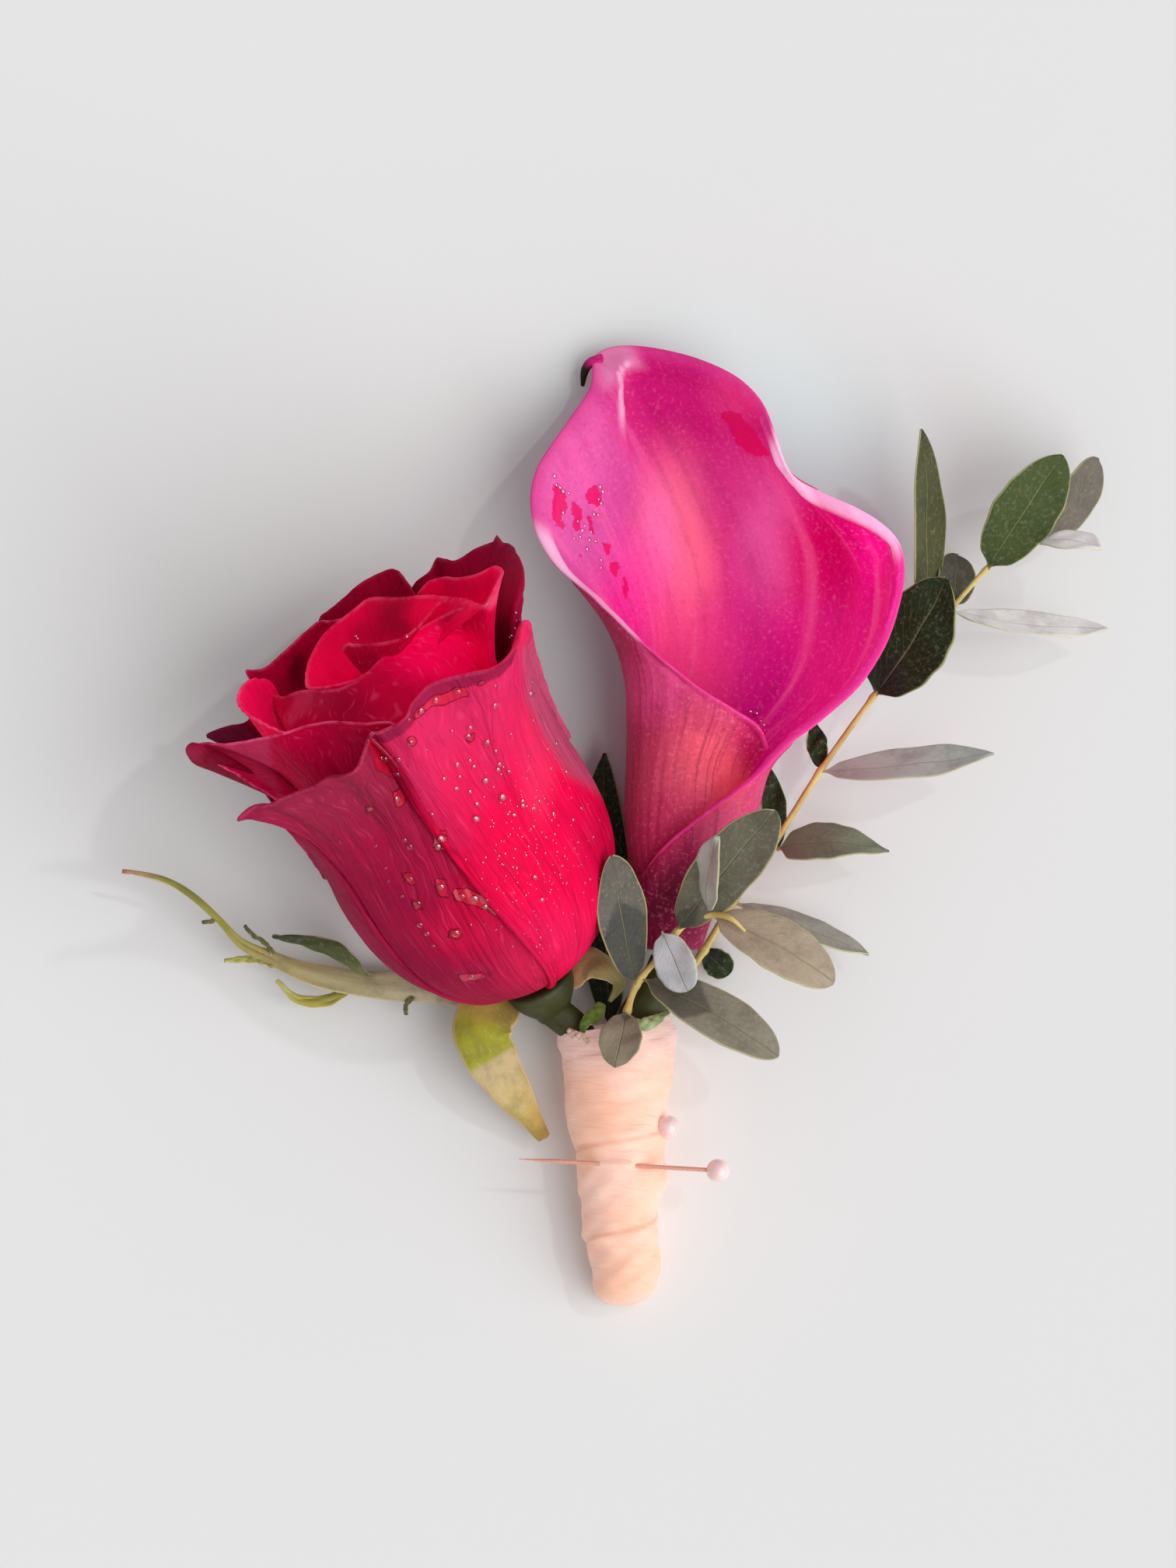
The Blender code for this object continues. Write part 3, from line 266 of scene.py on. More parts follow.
# Where water has soaked the outer petals, and where painted sheen and shade dull them, as outlines in pixels.
ROSE_SOAKED = (
    ((527, 928), (534, 913), (545, 902), (558, 893), (571, 891), (584, 882), (598, 882), (602, 891), (589, 898),
     (571, 905), (558, 907), (545, 912), (536, 922)),
    ((609, 880), (620, 873), (626, 875), (617, 882)), ((524, 948), (531, 946), (535, 956), (530, 962)),
    ((470, 952), (483, 946), (494, 959), (505, 974), (514, 983), (521, 1001), (510, 1003), (496, 996), (483, 990),
     (477, 976)),
    ((503, 1018), (514, 1013), (523, 1023), (516, 1036), (510, 1040)),
    ((470, 1036), (483, 1034), (485, 1038), (470, 1047)),
    ((561, 1066), (574, 1068), (577, 1083), (572, 1093), (557, 1096), (555, 1083)),
    ((561, 1130), (572, 1130), (574, 1145), (578, 1155), (565, 1151), (559, 1142)),
    ((582, 1145), (599, 1142), (619, 1149), (629, 1162), (638, 1177), (629, 1172), (616, 1164), (599, 1162),
     (587, 1157)),
    ((578, 1194), (591, 1192), (595, 1200), (587, 1206), (574, 1202)),
    ((529, 1155), (538, 1162), (544, 1168), (535, 1169), (531, 1164)),
    ((518, 1123), (527, 1121), (535, 1134), (529, 1137), (523, 1134)),
    ((591, 1253), (617, 1249), (634, 1250), (617, 1258), (595, 1262)),
    ((602, 944), (609, 941), (610, 951), (603, 954), (598, 950)),
)
ROSE_SHEEN_AND_SHADE = (
    ((668, 838), (677, 903), (701, 952), (729, 995), (778, 1026), (820, 1040), (800, 880), (700, 800)),
)
# Drops of water on the rose: pixels and widths in mm.
ROSE_DROPS = (
    (684, 877, 0.8), (683, 892, 1.2), (636, 907, 1.3), (604, 936, 1.1), (602, 947, 1.2), (626, 955, 1.2),
    (657, 944, 0.7), (637, 966, 0.8), (588, 983, 0.9), (604, 978, 0.8), (609, 986, 0.9), (642, 983, 0.9),
    (640, 990, 0.9), (654, 992, 0.7), (571, 1001, 0.9), (591, 999, 0.7), (624, 1004, 1.2), (587, 1014, 0.8),
    (604, 1018, 0.8), (686, 926, 0.7), (716, 956, 0.9), (704, 963, 0.6), (708, 988, 0.7), (728, 992, 0.8),
    (646, 1025, 1.4), (613, 1034, 0.8), (672, 1030, 0.8), (672, 1036, 0.9), (694, 1030, 0.8), (687, 1039, 0.6),
    (661, 1048, 0.8), (712, 1046, 0.9), (612, 1053, 1.3), (555, 1047, 0.7), (748, 1039, 0.8), (737, 1054, 0.8),
    (763, 1076, 0.6), (512, 976, 1.1), (526, 925, 0.8), (479, 943, 0.6), (637, 882, 0.6), (549, 964, 0.5),
    (581, 940, 0.6), (520, 1080, 0.8), (527, 1089, 1.1), (496, 1116, 0.5), (483, 1088, 0.6), (499, 1133, 0.5),
    (517, 1152, 0.6), (540, 1189, 1.0), (549, 1200, 0.8), (557, 1216, 0.6), (457, 818, 0.5), (459, 821, 0.5),
    (523, 818, 0.6), (627, 778, 0.5), (663, 788, 0.5), (664, 798, 0.5), (662, 808, 0.6), (657, 818, 0.6),
    (568, 1078, 1.5), (563, 1089, 1.1), (567, 1140, 1.1), (610, 1156, 1.2), (624, 1166, 1.0), (594, 1152, 0.9),
    (586, 1200, 1.2), (537, 1162, 1.0), (527, 1130, 0.9), (511, 1027, 1.2), (476, 1040, 0.8), (606, 1256, 1.0),
    (560, 900, 1.0), (541, 914, 1.1), (589, 889, 0.9), (528, 955, 1.0), (495, 975, 1.2), (510, 995, 1.0),
    (688, 1128, 0.9), (697, 1157, 0.8), (626, 1157, 0.5), (602, 827, 0.3), (462, 852, 0.4),
)
# Where the fine spray lies on the front petals: a pixel, half sizes in mm, a full mark and its strength.
SPRAYED = ((680, 1100), (10, 15), (255, 255, 255), 1.0)
# The spray's drops for each mm2 and their widths in mm, how drops differ in length, width and
# height, how deep they sink in, and how much wider the calla's are than they are listed.
SPRAY_DENSITY, SPRAY_WIDTHS = 0.6, (0.18, 0.52)
DROP_SHAPES = ((0.9, 1.15), (0.85, 1.05), (0.42, 0.54))
DROP_RISE = 0.35
CALLA_DROP_WIDTH = 1.4
CORE_OUTLINE = ((0.0, 47.0), (9.0, 46.4), (14.5, 44.0), (19.4, 40.0), (20.5, 24), (19.7, 18), (17.4, 12),
                (13.7, 7), (8.9, 3), (3.4, 0.2), (0.0, 0.0))

HIP_OUTLINE = ((0.0, -0.35), (5.0, -0.35), (5.4, -1.85), (4.6, -3.85), (3.2, -5.85), (2.4, -7.35), (0.0, -7.35))
ROSE_STEM = ((692, 1282, 8.4), (714, 1301, 8.2), (743, 1327, 8.2), (754, 1362, 8.1), (757, 1410, 7.9),
             (763, 1490, 6.9), (772, 1575, 5.9))
ROSE_STEM_RADII = (2.6, 2.5, 2.4, 2.2, 2.0)

# Each sepal's mid-line, its widths, how it leans, how deep its channel is, and its colours from
# root to tip. The small lobes, scraps and threads at the wrap's mouth are made as sepals are.
SEPAL_THICKNESS = 0.5
SEPAL_USUAL = dict(lean=0, channel=0.1)
SEPALS = {
    "left": dict(
        line=((682, 1270, 5.0), (610, 1276, 2.8), (551, 1269, 3.0), (505, 1267, 3.4), (455, 1263, 4.4),
              (401, 1252, 5.4), (353, 1233, 6.2), (311, 1213, 7.2), (280, 1181, 8.0), (250, 1154, 8.2),
              (220, 1135, 8.5), (190, 1125, 8.6), (157, 1120, 8.4)),
        widths=(3.6, 4.4, 4.6, 4.7, 4.6, 4.2, 3.4, 2.2, 1.2, 1.1, 1.0, 0.9, 0.5),
        lean=10, channel=0.2,
        colours=((0, (212, 190, 166)), (0.2, (214, 198, 170)), (0.4, (172, 162, 122)), (0.58, (178, 160, 110)),
                 (0.72, (172, 168, 72)), (0.9, (140, 140, 62)), (0.96, (190, 150, 110)), (1, (206, 130, 110))),
    ),
    "left_upper_lobe": dict(
        line=((486, 1264, 3.0), (464, 1250, 4.0), (450, 1236, 5.8), (428, 1221, 6.8), (392, 1210, 7.6),
              (350, 1204, 8.6)),
        widths=(0.9, 1.5, 2.3, 2.9, 2.2, 0.3),
        lean=-20, channel=0.15,
        colours=((0, (150, 146, 96)), (0.3, (78, 88, 44)), (0.7, (56, 70, 32)), (1, (52, 62, 40))),
    ),
    "left_filament": dict(
        line=((352, 1226, 6.6), (338, 1210, 7.0), (326, 1203, 7.4), (314, 1190, 7.8)),
        widths=(0.9, 0.6, 0.5, 0.3),
        colours=((0, (110, 110, 60)), (1, (84, 88, 60))),
    ),
    "lower_filament": dict(
        line=((531, 1282, 3.4), (522, 1292, 3.4), (522, 1305, 3.6)),
        widths=(0.8, 0.6, 0.3),
        colours=((0, (120, 116, 76)), (1, (110, 108, 70))),
    ),
    "thin_filament": dict(
        line=((275, 1184, 7.8), (268, 1185, 8.0), (260, 1186, 8.0)),
        widths=(0.7, 0.5, 0.3),
        colours=((0, (130, 124, 72)), (1, (96, 92, 60))),
    ),
    "left_lower_lobe": dict(
        line=((456, 1266, 3.0), (420, 1286, 4.0), (382, 1284, 4.8), (356, 1260, 5.4)),
        widths=(1.2, 1.9, 1.6, 0.4),
        lean=15, channel=0.15,
        colours=((0, (138, 132, 62)), (0.6, (176, 168, 70)), (1, (206, 196, 120))),
    ),
    "left_small_lobe": dict(
        line=((352, 1240, 6.2), (330, 1233, 6.2), (288, 1235, 6.4)),
        widths=(1.2, 1.2, 0.4),
        colours=((0, (168, 150, 82)), (1, (184, 188, 92))),
    ),
    "down": dict(
        line=((656, 1260, 5.8), (642, 1278, 7.4), (625, 1305, 9.2), (622, 1336, 10.2), (638, 1370, 9.4),
              (662, 1408, 7.2), (684, 1440, 5.0), (700, 1464, 3.4)),
        widths=(8.0, 9.2, 9.4, 9.3, 9.0, 8.6, 7.6, 5.8, 2.0),
        lean=-6, channel=0.12,
        colours=((0, (120, 104, 40)), (0.22, (176, 140, 66)), (0.32, (164, 160, 36)), (0.46, (160, 158, 40)),
                 (0.49, (196, 172, 130)), (0.75, (202, 178, 118)), (0.92, (200, 166, 84)), (1, (190, 150, 76))),
    ),
    "right": dict(
        line=((694, 1268, 7.0), (724, 1250, 8.2), (754, 1238, 9.8), (780, 1246, 11.0),
              (796, 1264, 10.6), (784, 1288, 10.8)),
        widths=(4.0, 5.6, 6.0, 5.4, 3.8, 0.5),
        lean=-14, channel=0.16,
        colours=((0, (168, 92, 70)), (0.3, (190, 130, 88)), (0.55, (182, 164, 110)), (1, (132, 136, 70))),
    ),
    "in_mouth": dict(
        line=((773, 1290, 9.6), (766, 1304, 11.4), (753, 1314, 12.6), (748, 1328, 12.4)),
        widths=(1.4, 2.4, 2.2, 0.6),
        lean=12, channel=0.2,
        colours=((0, (120, 150, 48)), (0.6, (96, 134, 44)), (1, (64, 100, 40))),
    ),
    "over_mouth": dict(
        line=((808, 1311, 13.8), (824, 1318, 14.6), (842, 1312, 14.8), (860, 1300, 14.6)),
        widths=(1.0, 1.9, 1.9, 0.5),
        channel=0.2,
        colours=((0, (128, 160, 96)), (0.5, (176, 196, 140)), (1, (110, 140, 84))),
    ),
    "twist": dict(
        line=((730, 1324, 13.4), (740, 1331, 14.2), (750, 1333, 14.4), (757, 1341, 14.4)),
        widths=(0.7, 1.3, 1.1, 0.4),
        channel=0.2,
        colours=((0, (226, 196, 184)), (1, (196, 168, 150))),
    ),
    "back": dict(
        line=((690, 1276, 4.0), (712, 1258, 2.2), (732, 1234, 1.5), (740, 1204, 1.6), (736, 1176, 2.6)),
        widths=(4.0, 5.6, 5.0, 3.4, 0.5),
        channel=0.12,
        colours=((0, (70, 76, 34)), (1, (60, 70, 36))),
    ),
}

CALLA_FOOT = (866, 1220)
CALLA_TUBE = (
    (0, 866, 3.6, 1.0), (5, 869, 5.0, 1.0), (14, 876, 8.2, 1.0), (21, 885, 10.0, 1.0),
    (28, 895, 11.0, 0.97), (33, 915, 13.3, 0.9), (36, 931, 15.2, 0.85), (42, 957, 17.7, 0.76),
    (50, 973, 19.6, 0.70), (60, 968, 20.6, 0.66), (70, 935, 18.4, 0.66), (80, 893, 14.8, 0.62),
    (94, 815, 9.4, 0.55),
)
CALLA_FOOT_HEIGHT = 8.0
CALLA_BACK_HEIGHT = 0.1
TUBE_RISE = 26
CALLA_MARGIN = (
    (988, 962, 22.0, 66), (975, 934, 23.6, 40), (940, 910, 25.0, 14), (900, 885, 26.2, -10),
    (858, 851, 26.4, -32), (824, 822, 25.8, -46), (790, 790, 24.8, -58), (757, 759, 23.6, -70),
    (716, 725, 22.0, -80), (690, 684, 20.4, -88), (683, 640, 18.6, -96), (690, 604, 16.4, -104),
    (707, 575, 13.8, -113), (733, 538, 10.0, -126), (758, 500, 6.6, -141), (762, 474, 4.6, -156),
    (768, 455, 3.8, -168), (792, 446, 4.2, -177), (826, 447, 5.4, -185), (870, 456, 8.0, -194),
    (914, 471, 10.8, -203), (952, 493, 13.4, -212), (978, 523, 15.8, -220), (992, 558, 18.0, -228),
    (1005, 594, 20.0, -235), (1023, 617, 21.2, -241), (1056, 634, 21.8, -248), (1097, 652, 21.8, -254),
    (1131, 672, 21.4, -260), (1153, 696, 21.2, -265), (1160, 725, 21.4, -269), (1157, 762, 22.0, -272),
    (1148, 798, 23.0, -274), (1131, 838, 24.2, -276), (1109, 872, 25.4, -278), (1080, 902, 26.4, -281),
    (1046, 930, 27.0, -285), (1019, 950, 26.8, -290), (998, 970, 26.2, -297), (975, 994, 25.4, -308),
    (944, 1018, 24.6, -322), (905, 1046, 23.6, -341), (866, 1078, 21.4, -368), (840, 1107, 18.0, -397),
    (820, 1142, 12.6, -430),
)
CALLA_LAYER_GAP = 2.2
CALLA_FLARE_START = 0.5
CALLA_FLARE_POWER = 2.3
CALLA_THICKNESS = 0.6
# The dip in its right margin, how much of the margin it takes, and how much earlier it opens there.
CALLA_NOTCH = (1012, 603)
NOTCH_SHARE = 0.07
NOTCH_OPENS = 1.1
# In mm: how high its broad waves, its veins and its crease stand, and how wide the crease is on its
# left and on its right, and how high its lip stands and how low its edge hangs.
CALLA_WAVES, CALLA_VEINS, CREASE_HEIGHT = 0.13, 0.04, 1.5
CREASE_WIDTHS = (3.2, 0.45)
CALLA_LIP, CALLA_EDGE = 0.5, 0.35
# The calla's colours: a base, then pixels, half sizes in mm, colours and strengths on it.
CALLA_FACE = (222, 27, 134)
# Among the face's spots, the two broad pale ones on the left lobe are painted light, the narrow one at pixel (800,
# 650) is painted shade beside it, and the greyish one at pixel (985, 690) is a painted sheen.
CALLA_FACE_GLOWS = (
    ((735, 600), (13, 20), (226, 92, 168), 1.0), ((760, 705), (9, 9), (214, 92, 168), 0.7),
    ((800, 650), (4.5, 13), (206, 70, 152), 0.7), ((845, 520), (9, 9), (204, 14, 116), 0.9),
    ((900, 500), (8, 5), (226, 36, 142), 0.6), ((950, 505), (6, 6), (248, 70, 152), 0.7),
    ((868, 700), (7.5, 17), (255, 116, 152), 0.9), ((884, 780), (7, 13), (255, 104, 148), 0.6),
    ((846, 690), (3.5, 10), (244, 120, 198), 0.5), ((815, 770), (7, 12), (246, 52, 162), 0.6),
    ((985, 690), (6.5, 14), (236, 100, 176), 0.8), ((940, 620), (6, 9), (230, 70, 158), 0.5),
    ((1080, 705), (10, 10), (214, 0, 104), 1.0), ((1135, 745), (6, 14), (238, 14, 136), 0.8),
    ((1090, 850), (9, 10), (232, 30, 140), 0.7), ((975, 885), (8, 14), (206, 10, 136), 1.0),
    ((940, 830), (6, 10), (222, 34, 148), 0.6), ((965, 775), (5, 9), (206, 44, 138), 0.5),
    ((890, 850), (8, 12), (246, 62, 144), 0.7),
)
CALLA_BACK = (200, 60, 110)
CALLA_BACK_GLOWS = (
    ((825, 915), (8, 9), (206, 62, 118), 0.8), ((905, 985), (8, 10), (248, 96, 112), 0.95),
    ((850, 1010), (9, 12), (208, 76, 108), 0.6), ((880, 1095), (9, 10), (196, 40, 92), 0.8),
    ((850, 1180), (12, 11), (112, 22, 54), 1.0), ((975, 955), (5, 6), (184, 6, 84), 0.9),
    ((836, 884), (6, 6), (238, 84, 150), 0.8), ((920, 1060), (4.5, 5), (232, 80, 126), 0.7),
)
# Soaked patches, the crease below the tip, and where painted highlights lie on the rim: two pixels on it and a
# strength.
CALLA_SOAKED = (
    ((708, 622), (726, 638), (728, 660), (718, 666), (726, 680), (716, 682), (708, 662)),
    ((735, 646), (746, 654), (746, 668), (742, 688), (736, 684), (734, 666)),
    ((764, 624), (772, 642), (770, 652), (752, 650), (750, 636)), ((754, 662), (764, 678), (760, 690), (754, 682)),
    ((773, 699), (788, 698), (780, 714), (775, 710)), ((779, 722), (798, 726), (790, 742), (780, 732)),
    ((740, 708), (746, 716), (744, 720)), ((800, 736), (806, 754), (802, 770), (798, 758)),
    ((925, 528), (954, 530), (968, 549), (981, 568), (990, 584), (970, 585), (950, 571), (940, 552)),
)
CALLA_DROPS = (
    (713, 612, 0.6), (716, 624, 0.7), (720, 627, 0.6), (724, 632, 0.7), (731, 634, 0.5), (724, 659, 0.6),
    (772, 626, 0.6), (775, 632, 0.6), (773, 647, 0.6), (770, 642, 0.5), (769, 662, 0.5), (764, 661, 0.6),
    (743, 670, 0.5), (749, 682, 0.6), (746, 690, 0.5), (760, 684, 0.5), (758, 694, 0.6), (766, 696, 0.5),
    (755, 706, 0.6), (773, 720, 0.5), (773, 730, 0.5), (767, 654, 0.4), (752, 676, 0.4), (738, 692, 0.4),
    (964, 915, 0.5), (971, 917, 0.6), (977, 927, 0.5), (981, 932, 0.6), (982, 939, 0.4),
)
CALLA_CREASE = ((811, 463), (798, 480), (793, 514), (794, 542), (799, 568), (806, 600), (812, 640))
CALLA_SHINES = (((990, 570), (1030, 625), 0.75), ((1030, 625), (1090, 650), 0.45), ((1090, 650), (1146, 688), 0.55),
                ((690, 690), (735, 742), 0.7), ((740, 746), (815, 812), 0.45), ((770, 455), (800, 446), 0.3))
CALLA_TAIL = ((775, 462, 3.8, 0.9), (760, 466, 3.4, 0.8), (752, 477, 2.8, 0.6), (749, 496, 2.0, 0.3))
CALLA_STEM = ((861, 1238, 7.8), (853, 1256, 7.3), (830, 1292, 6.6), (815, 1325, 6.2), (810, 1400, 6.0),
              (812, 1480, 6.0), (815, 1575, 5.9))
CALLA_STEM_RADII = (3.2, 3.1, 2.9, 2.7, 2.3)
NECK_RADIUS = 1.5
SPADIX_FOOT = (870, 1172, 8.6)
SPADIX_TIP = (897, 925, 13.4)
SPADIX_RADII = (1.75, 2.5, 2.4, 1.9, 0.65)

# A leaf is its root, its tip, its width, how far it leans about its own length, how much it arches
# up, how far it bows to the left of its way, its shape, its colour and how much of it is shaded.
LEAF_FOLD = 0.12
LEAF_THICKNESS = 0.35
LEAF_SHAPES = {"round": (0.6, 0.45), "oval": (0.7, 0.66), "long": (0.85, 0.8),
               "tailed": (0.62, 1.1), "spoon": (0.74, 0.58)}
GREEN, DARK, GREY = (66, 80, 38), (34, 50, 22), (178, 186, 180)
SILVER, TALL, BROWN = (238, 232, 232), (74, 76, 42), (112, 104, 94)
LONG_STEM = ((846, 1400, 4.4), (844, 1330, 4.5), (852, 1300, 3.6), (905, 1222, 2.9), (940, 1164, 3.6),
             (988, 1096, 5.4), (1021, 1044, 6.4), (1054, 992, 7.2), (1125, 893, 8.6), (1178, 832, 9.4),
             (1225, 780, 10.2), (1272, 728, 11.0), (1300, 712, 11.6), (1340, 694, 12.4))
LONG_STEM_RADII = (0.75, 0.72, 0.66, 0.6, 0.55, 0.52, 0.49, 0.47, 0.45, 0.44, 0.42, 0.4, 0.38, 0.34)
LONG_LEAVES = (
    ((1268, 733, 11.0), (1366, 585, 17.0), 10.8, 22, 1.6, 0.2, "oval", GREEN, 0.0),
    ((1322, 702, 10.4), (1412, 590, 9.4), 8.4, 42, 1.0, -1.0, "round", BROWN, 0.0),
    ((1334, 697, 12.4), (1417, 705, 18.0), 6.0, -58, 0.8, 0.6, "long", SILVER, 0.0),
    ((1222, 786, 10.2), (1425, 808, 8.6), 8.0, -62, 1.2, -0.9, "long", SILVER, 0.0),
    ((1186, 822, 6.4), (1184, 552, 18.6), 9.8, 58, 1.0, -0.7, "long", TALL, 0.2),
    ((1226, 780, 10.0), (1232, 714, 4.8), 6.4, 20, 0.6, 0.1, "round", (84, 80, 70), 0.0),
    ((1122, 897, 8.4), (1217, 744, 16.4), 12.4, -20, 1.6, -0.7, "oval", DARK, 0.35),
    ((1052, 992, 7.2), (1278, 969, 13.0), 8.2, -54, 1.8, -0.5, "long", GREY, 0.0),
    ((1054, 990, 7.0), (1047, 930, 4.4), 3.3, 10, 0.4, 0.0, "long", DARK, 0.3),
    ((998, 1092, 5.4), (1143, 1095, 8.4), 8.2, -46, 2.4, 1.2, "tailed", (120, 130, 108), 0.0),
    ((1001, 1094, 5.2), (986, 984, 1.7), 3.9, 10, 0.0, -0.2, "long", DARK, 0.4),
    ((944, 1160, 3.8), (1117, 1227, 6.0), 6.4, -56, 1.4, 0.1, "long", (150, 148, 140), 0.0),
    ((905, 1222, 2.9), (938, 1252, 2.2), 4.6, 10, 0.3, 0.0, "round", DARK, 0.5),
)
SHORT_STEM = ((800, 1400, 11.2), (801, 1340, 12.0), (806, 1302, 13.2), (819, 1265, 14.8), (842, 1236, 16.4),
              (869, 1199, 18.4), (892, 1183, 19.6), (914, 1176, 21.0), (938, 1180, 23.0), (958, 1197, 23.2))
SHORT_STEM_RADII = (0.66, 0.62, 0.58, 0.54, 0.5, 0.48, 0.46, 0.46, 0.52, 0.24)
SHORT_LEAVES = (
    ((817, 1266, 15.0), (786, 1100, 30.5), 8.2, 24, 1.0, 0.2, "spoon", (98, 94, 86), 0.65),
    ((806, 1300, 13.6), (790, 1372, 17.6), 6.6, 8, 0.8, 0.0, "oval", (142, 132, 112), 0.2),
    ((824, 1258, 15.4), (1001, 1358, 17.0), 8.6, -30, 2.2, 0.8, "spoon", (138, 132, 115), 0.5),
    ((851, 1197, 19.4), (884, 1274, 19.6), 6.8, 24, 0.5, 0.0, "round", (198, 200, 204), 0.0),
    ((869, 1199, 18.6), (997, 1042, 29.0), 9.8, 14, 0.8, 0.4, "spoon", (100, 96, 80), 0.25),
    ((910, 1175, 20.4), (922, 1075, 31.0), 5.8, -50, 0.5, 0.6, "long", (174, 178, 170), 0.0),
    ((914, 1177, 20.4), (1072, 1264, 21.0), 9.2, -26, 2.0, 0.9, "spoon", (172, 155, 134), 0.0),
)
BACKING_LEAF = ((786, 1334, 2.3), (778, 968, 5.4), 10.0, -30, 1.2, 0.6, "long", (34, 44, 24), 0.4)

WRAP_ROWS = (
    (1317, 715, 862, 13.7), (1328, 715, 868, 13.8), (1340, 717, 870, 13.8), (1362, 722, 868, 13.7),
    (1386, 725, 866, 13.6), (1410, 726, 860, 13.4), (1434, 726, 858, 13.3), (1452, 730, 860, 13.5),
    (1462, 733, 859, 13.3), (1472, 736, 856, 12.6), (1494, 742, 856, 12.7), (1518, 742, 859, 12.6),
    (1554, 747, 847, 11.5), (1588, 747, 846, 11.2), (1600, 753, 847, 10.7), (1630, 760, 850, 10.5),
    (1656, 763, 844, 9.6), (1668, 768, 835, 7.8), (1676, 777, 822, 5.0),
)
WRAP_SINK = 0.1
# The tape: how far a turn climbs, where its first turn starts, how much its edge leans over the
# stems and how high it stands, how high its small folds are, and how far its lowest layer lies
# inside the wrap's outline. Then the columns of pixels between which it covers the pin, and how high
# it humps over the pin there and dips under it elsewhere.
TAPE_PITCH = 14.0
TAPE_START = 0.23
TAPE_LEAN = 0.08
TAPE_STEP = 0.3
TAPE_RUCKS = 0.09
TAPE_INSET = 0.12
COVERED_PIN = (741, 820)
PIN_HUMP = 1.0
PIN_DIP = 0.45
MOUTH_SLANT = 0.18
SLANT_FADE = 60
MOUTH_FLOOR_ROW = 1338
MOUTH_WALL = 0.65
# From the mouth's floor up to its lip: how far inside the wrap's outline, and the row.
MOUTH_RINGS = ((6.0, MOUTH_FLOOR_ROW), (3.0, MOUTH_FLOOR_ROW), (1.0, MOUTH_FLOOR_ROW), (MOUTH_WALL, 1334),
               (MOUTH_WALL, 1326), (MOUTH_WALL, 1320), (0.4, 1317.5))

PIN_RADIUS = 0.34
PEARL_RADIUS = 1.82
# A needle from its point on, and how far short of its pearl's middle it ends.
NEEDLE_RADII = (0.05,) + 5 * (PIN_RADIUS,)
NEEDLE_STOP = 0.4
PINS = {
    "a": ((667, 1490, 12.3), (923, 1505, 11.6)),
    "b": ((772, 1518, 9.5), (859, 1449, 9.4)),
}

# The floor's width in metres and the cooler tint on it that counters the calla's pink light: a
# pixel, half sizes in mm and a strength. The soft light all round, the way that the drops' painted
# glints face, and each lamp's way, softness in degrees and strength.
FLOOR_WIDTH = 6
FLOOR_COOLED = ((930, 720), (45, 50), 1.6)
SKY = 0.455
GLINT_WAY = (0.3, 0.12, 0.946)
LAMPS = (
    ("key", (0.85, -0.4, 0.85), 65, 2.25),
    ("glint", (0.5, 0.35, 0.8), 2, 0.25),
)


# Curves and meshes
def spot(across, down, height):
    """The point, in mm, that is seen at a pixel and lies at a height."""
    scale = PIXEL * (EYE[2] - height) / (EYE[2] - SCALE_HEIGHT)
    return np.array([
        EYE[0] + (across - PIXEL_UNDER_EYE[0]) * scale,
        EYE[1] + (PIXEL_UNDER_EYE[1] - down) * scale,
        height,
    ])


def seen_at(points):
    """The pixels at which points in mm are seen."""
    scale = PIXEL * (EYE[2] - points[..., 2]) / (EYE[2] - SCALE_HEIGHT)
    return np.stack([PIXEL_UNDER_EYE[0] + (points[..., 0] - EYE[0]) / scale,
                     PIXEL_UNDER_EYE[1] - (points[..., 1] - EYE[1]) / scale], -1)


def within(grid, outlines):
    """How deep each point is seen inside the nearest outline, in mm, and below nought outside."""
    pixels = seen_at(grid)
    best = np.full(grid.shape[:-1], -9.0)
    for outline in outlines:
        corners = np.array(outline, float)
        near = np.full(pixels.shape[:-1], 1e9)
        inside = np.zeros(pixels.shape[:-1], bool)
        for a, b in zip(corners, np.roll(corners, -1, axis=0)):
            t = np.clip(((pixels - a) @ (b - a)) / ((b - a) @ (b - a)), 0, 1)
            near = np.minimum(near, np.linalg.norm(pixels - a - t[..., None] * (b - a), axis=-1))
            spans = (a[1] > pixels[..., 1]) != (b[1] > pixels[..., 1])
            rise = b[1] - a[1] if b[1] != a[1] else 1e-9
            inside ^= spans & (pixels[..., 0] < (b[0] - a[0]) * (pixels[..., 1] - a[1]) / rise + a[0])
        best = np.maximum(best, np.where(inside, near, -near) * PIXEL)
    return best


def through(points, count):
    """Count points, evenly spread along a smooth curve through the given ones."""
    known = np.array(points, float)
    padded = np.vstack([2 * known[0] - known[1], known, 2 * known[-1] - known[-2]])
    t = np.linspace(0, 1, 16, endpoint=False)[:, None]
    fine = np.vstack([
        0.5 * (2 * b + (c - a) * t + (2 * a - 5 * b + 4 * c - d) * t**2 + (3 * b - a - 3 * c + d) * t**3)
        for a, b, c, d in zip(padded, padded[1:], padded[2:], padded[3:])
    ] + [known[-1:]])
    along = np.concatenate([[0], np.cumsum(np.linalg.norm(np.diff(fine, axis=0), axis=1))])
    places = np.linspace(0, along[-1], count)
    return np.column_stack([np.interp(places, along, column) for column in fine.T])


def spread(values, count):
    """Values, resampled evenly to a count."""
    return np.interp(np.linspace(0, 1, count), np.linspace(0, 1, len(values)), values)


def eased(x):
    """From nought to one, starting and ending gently."""
    x = np.clip(x, 0, 1)
    return x * x * (3 - 2 * x)


def unit(vector):
    vector = np.asarray(vector, float)
    return vector / np.maximum(np.linalg.norm(vector, axis=-1, keepdims=True), 1e-9)


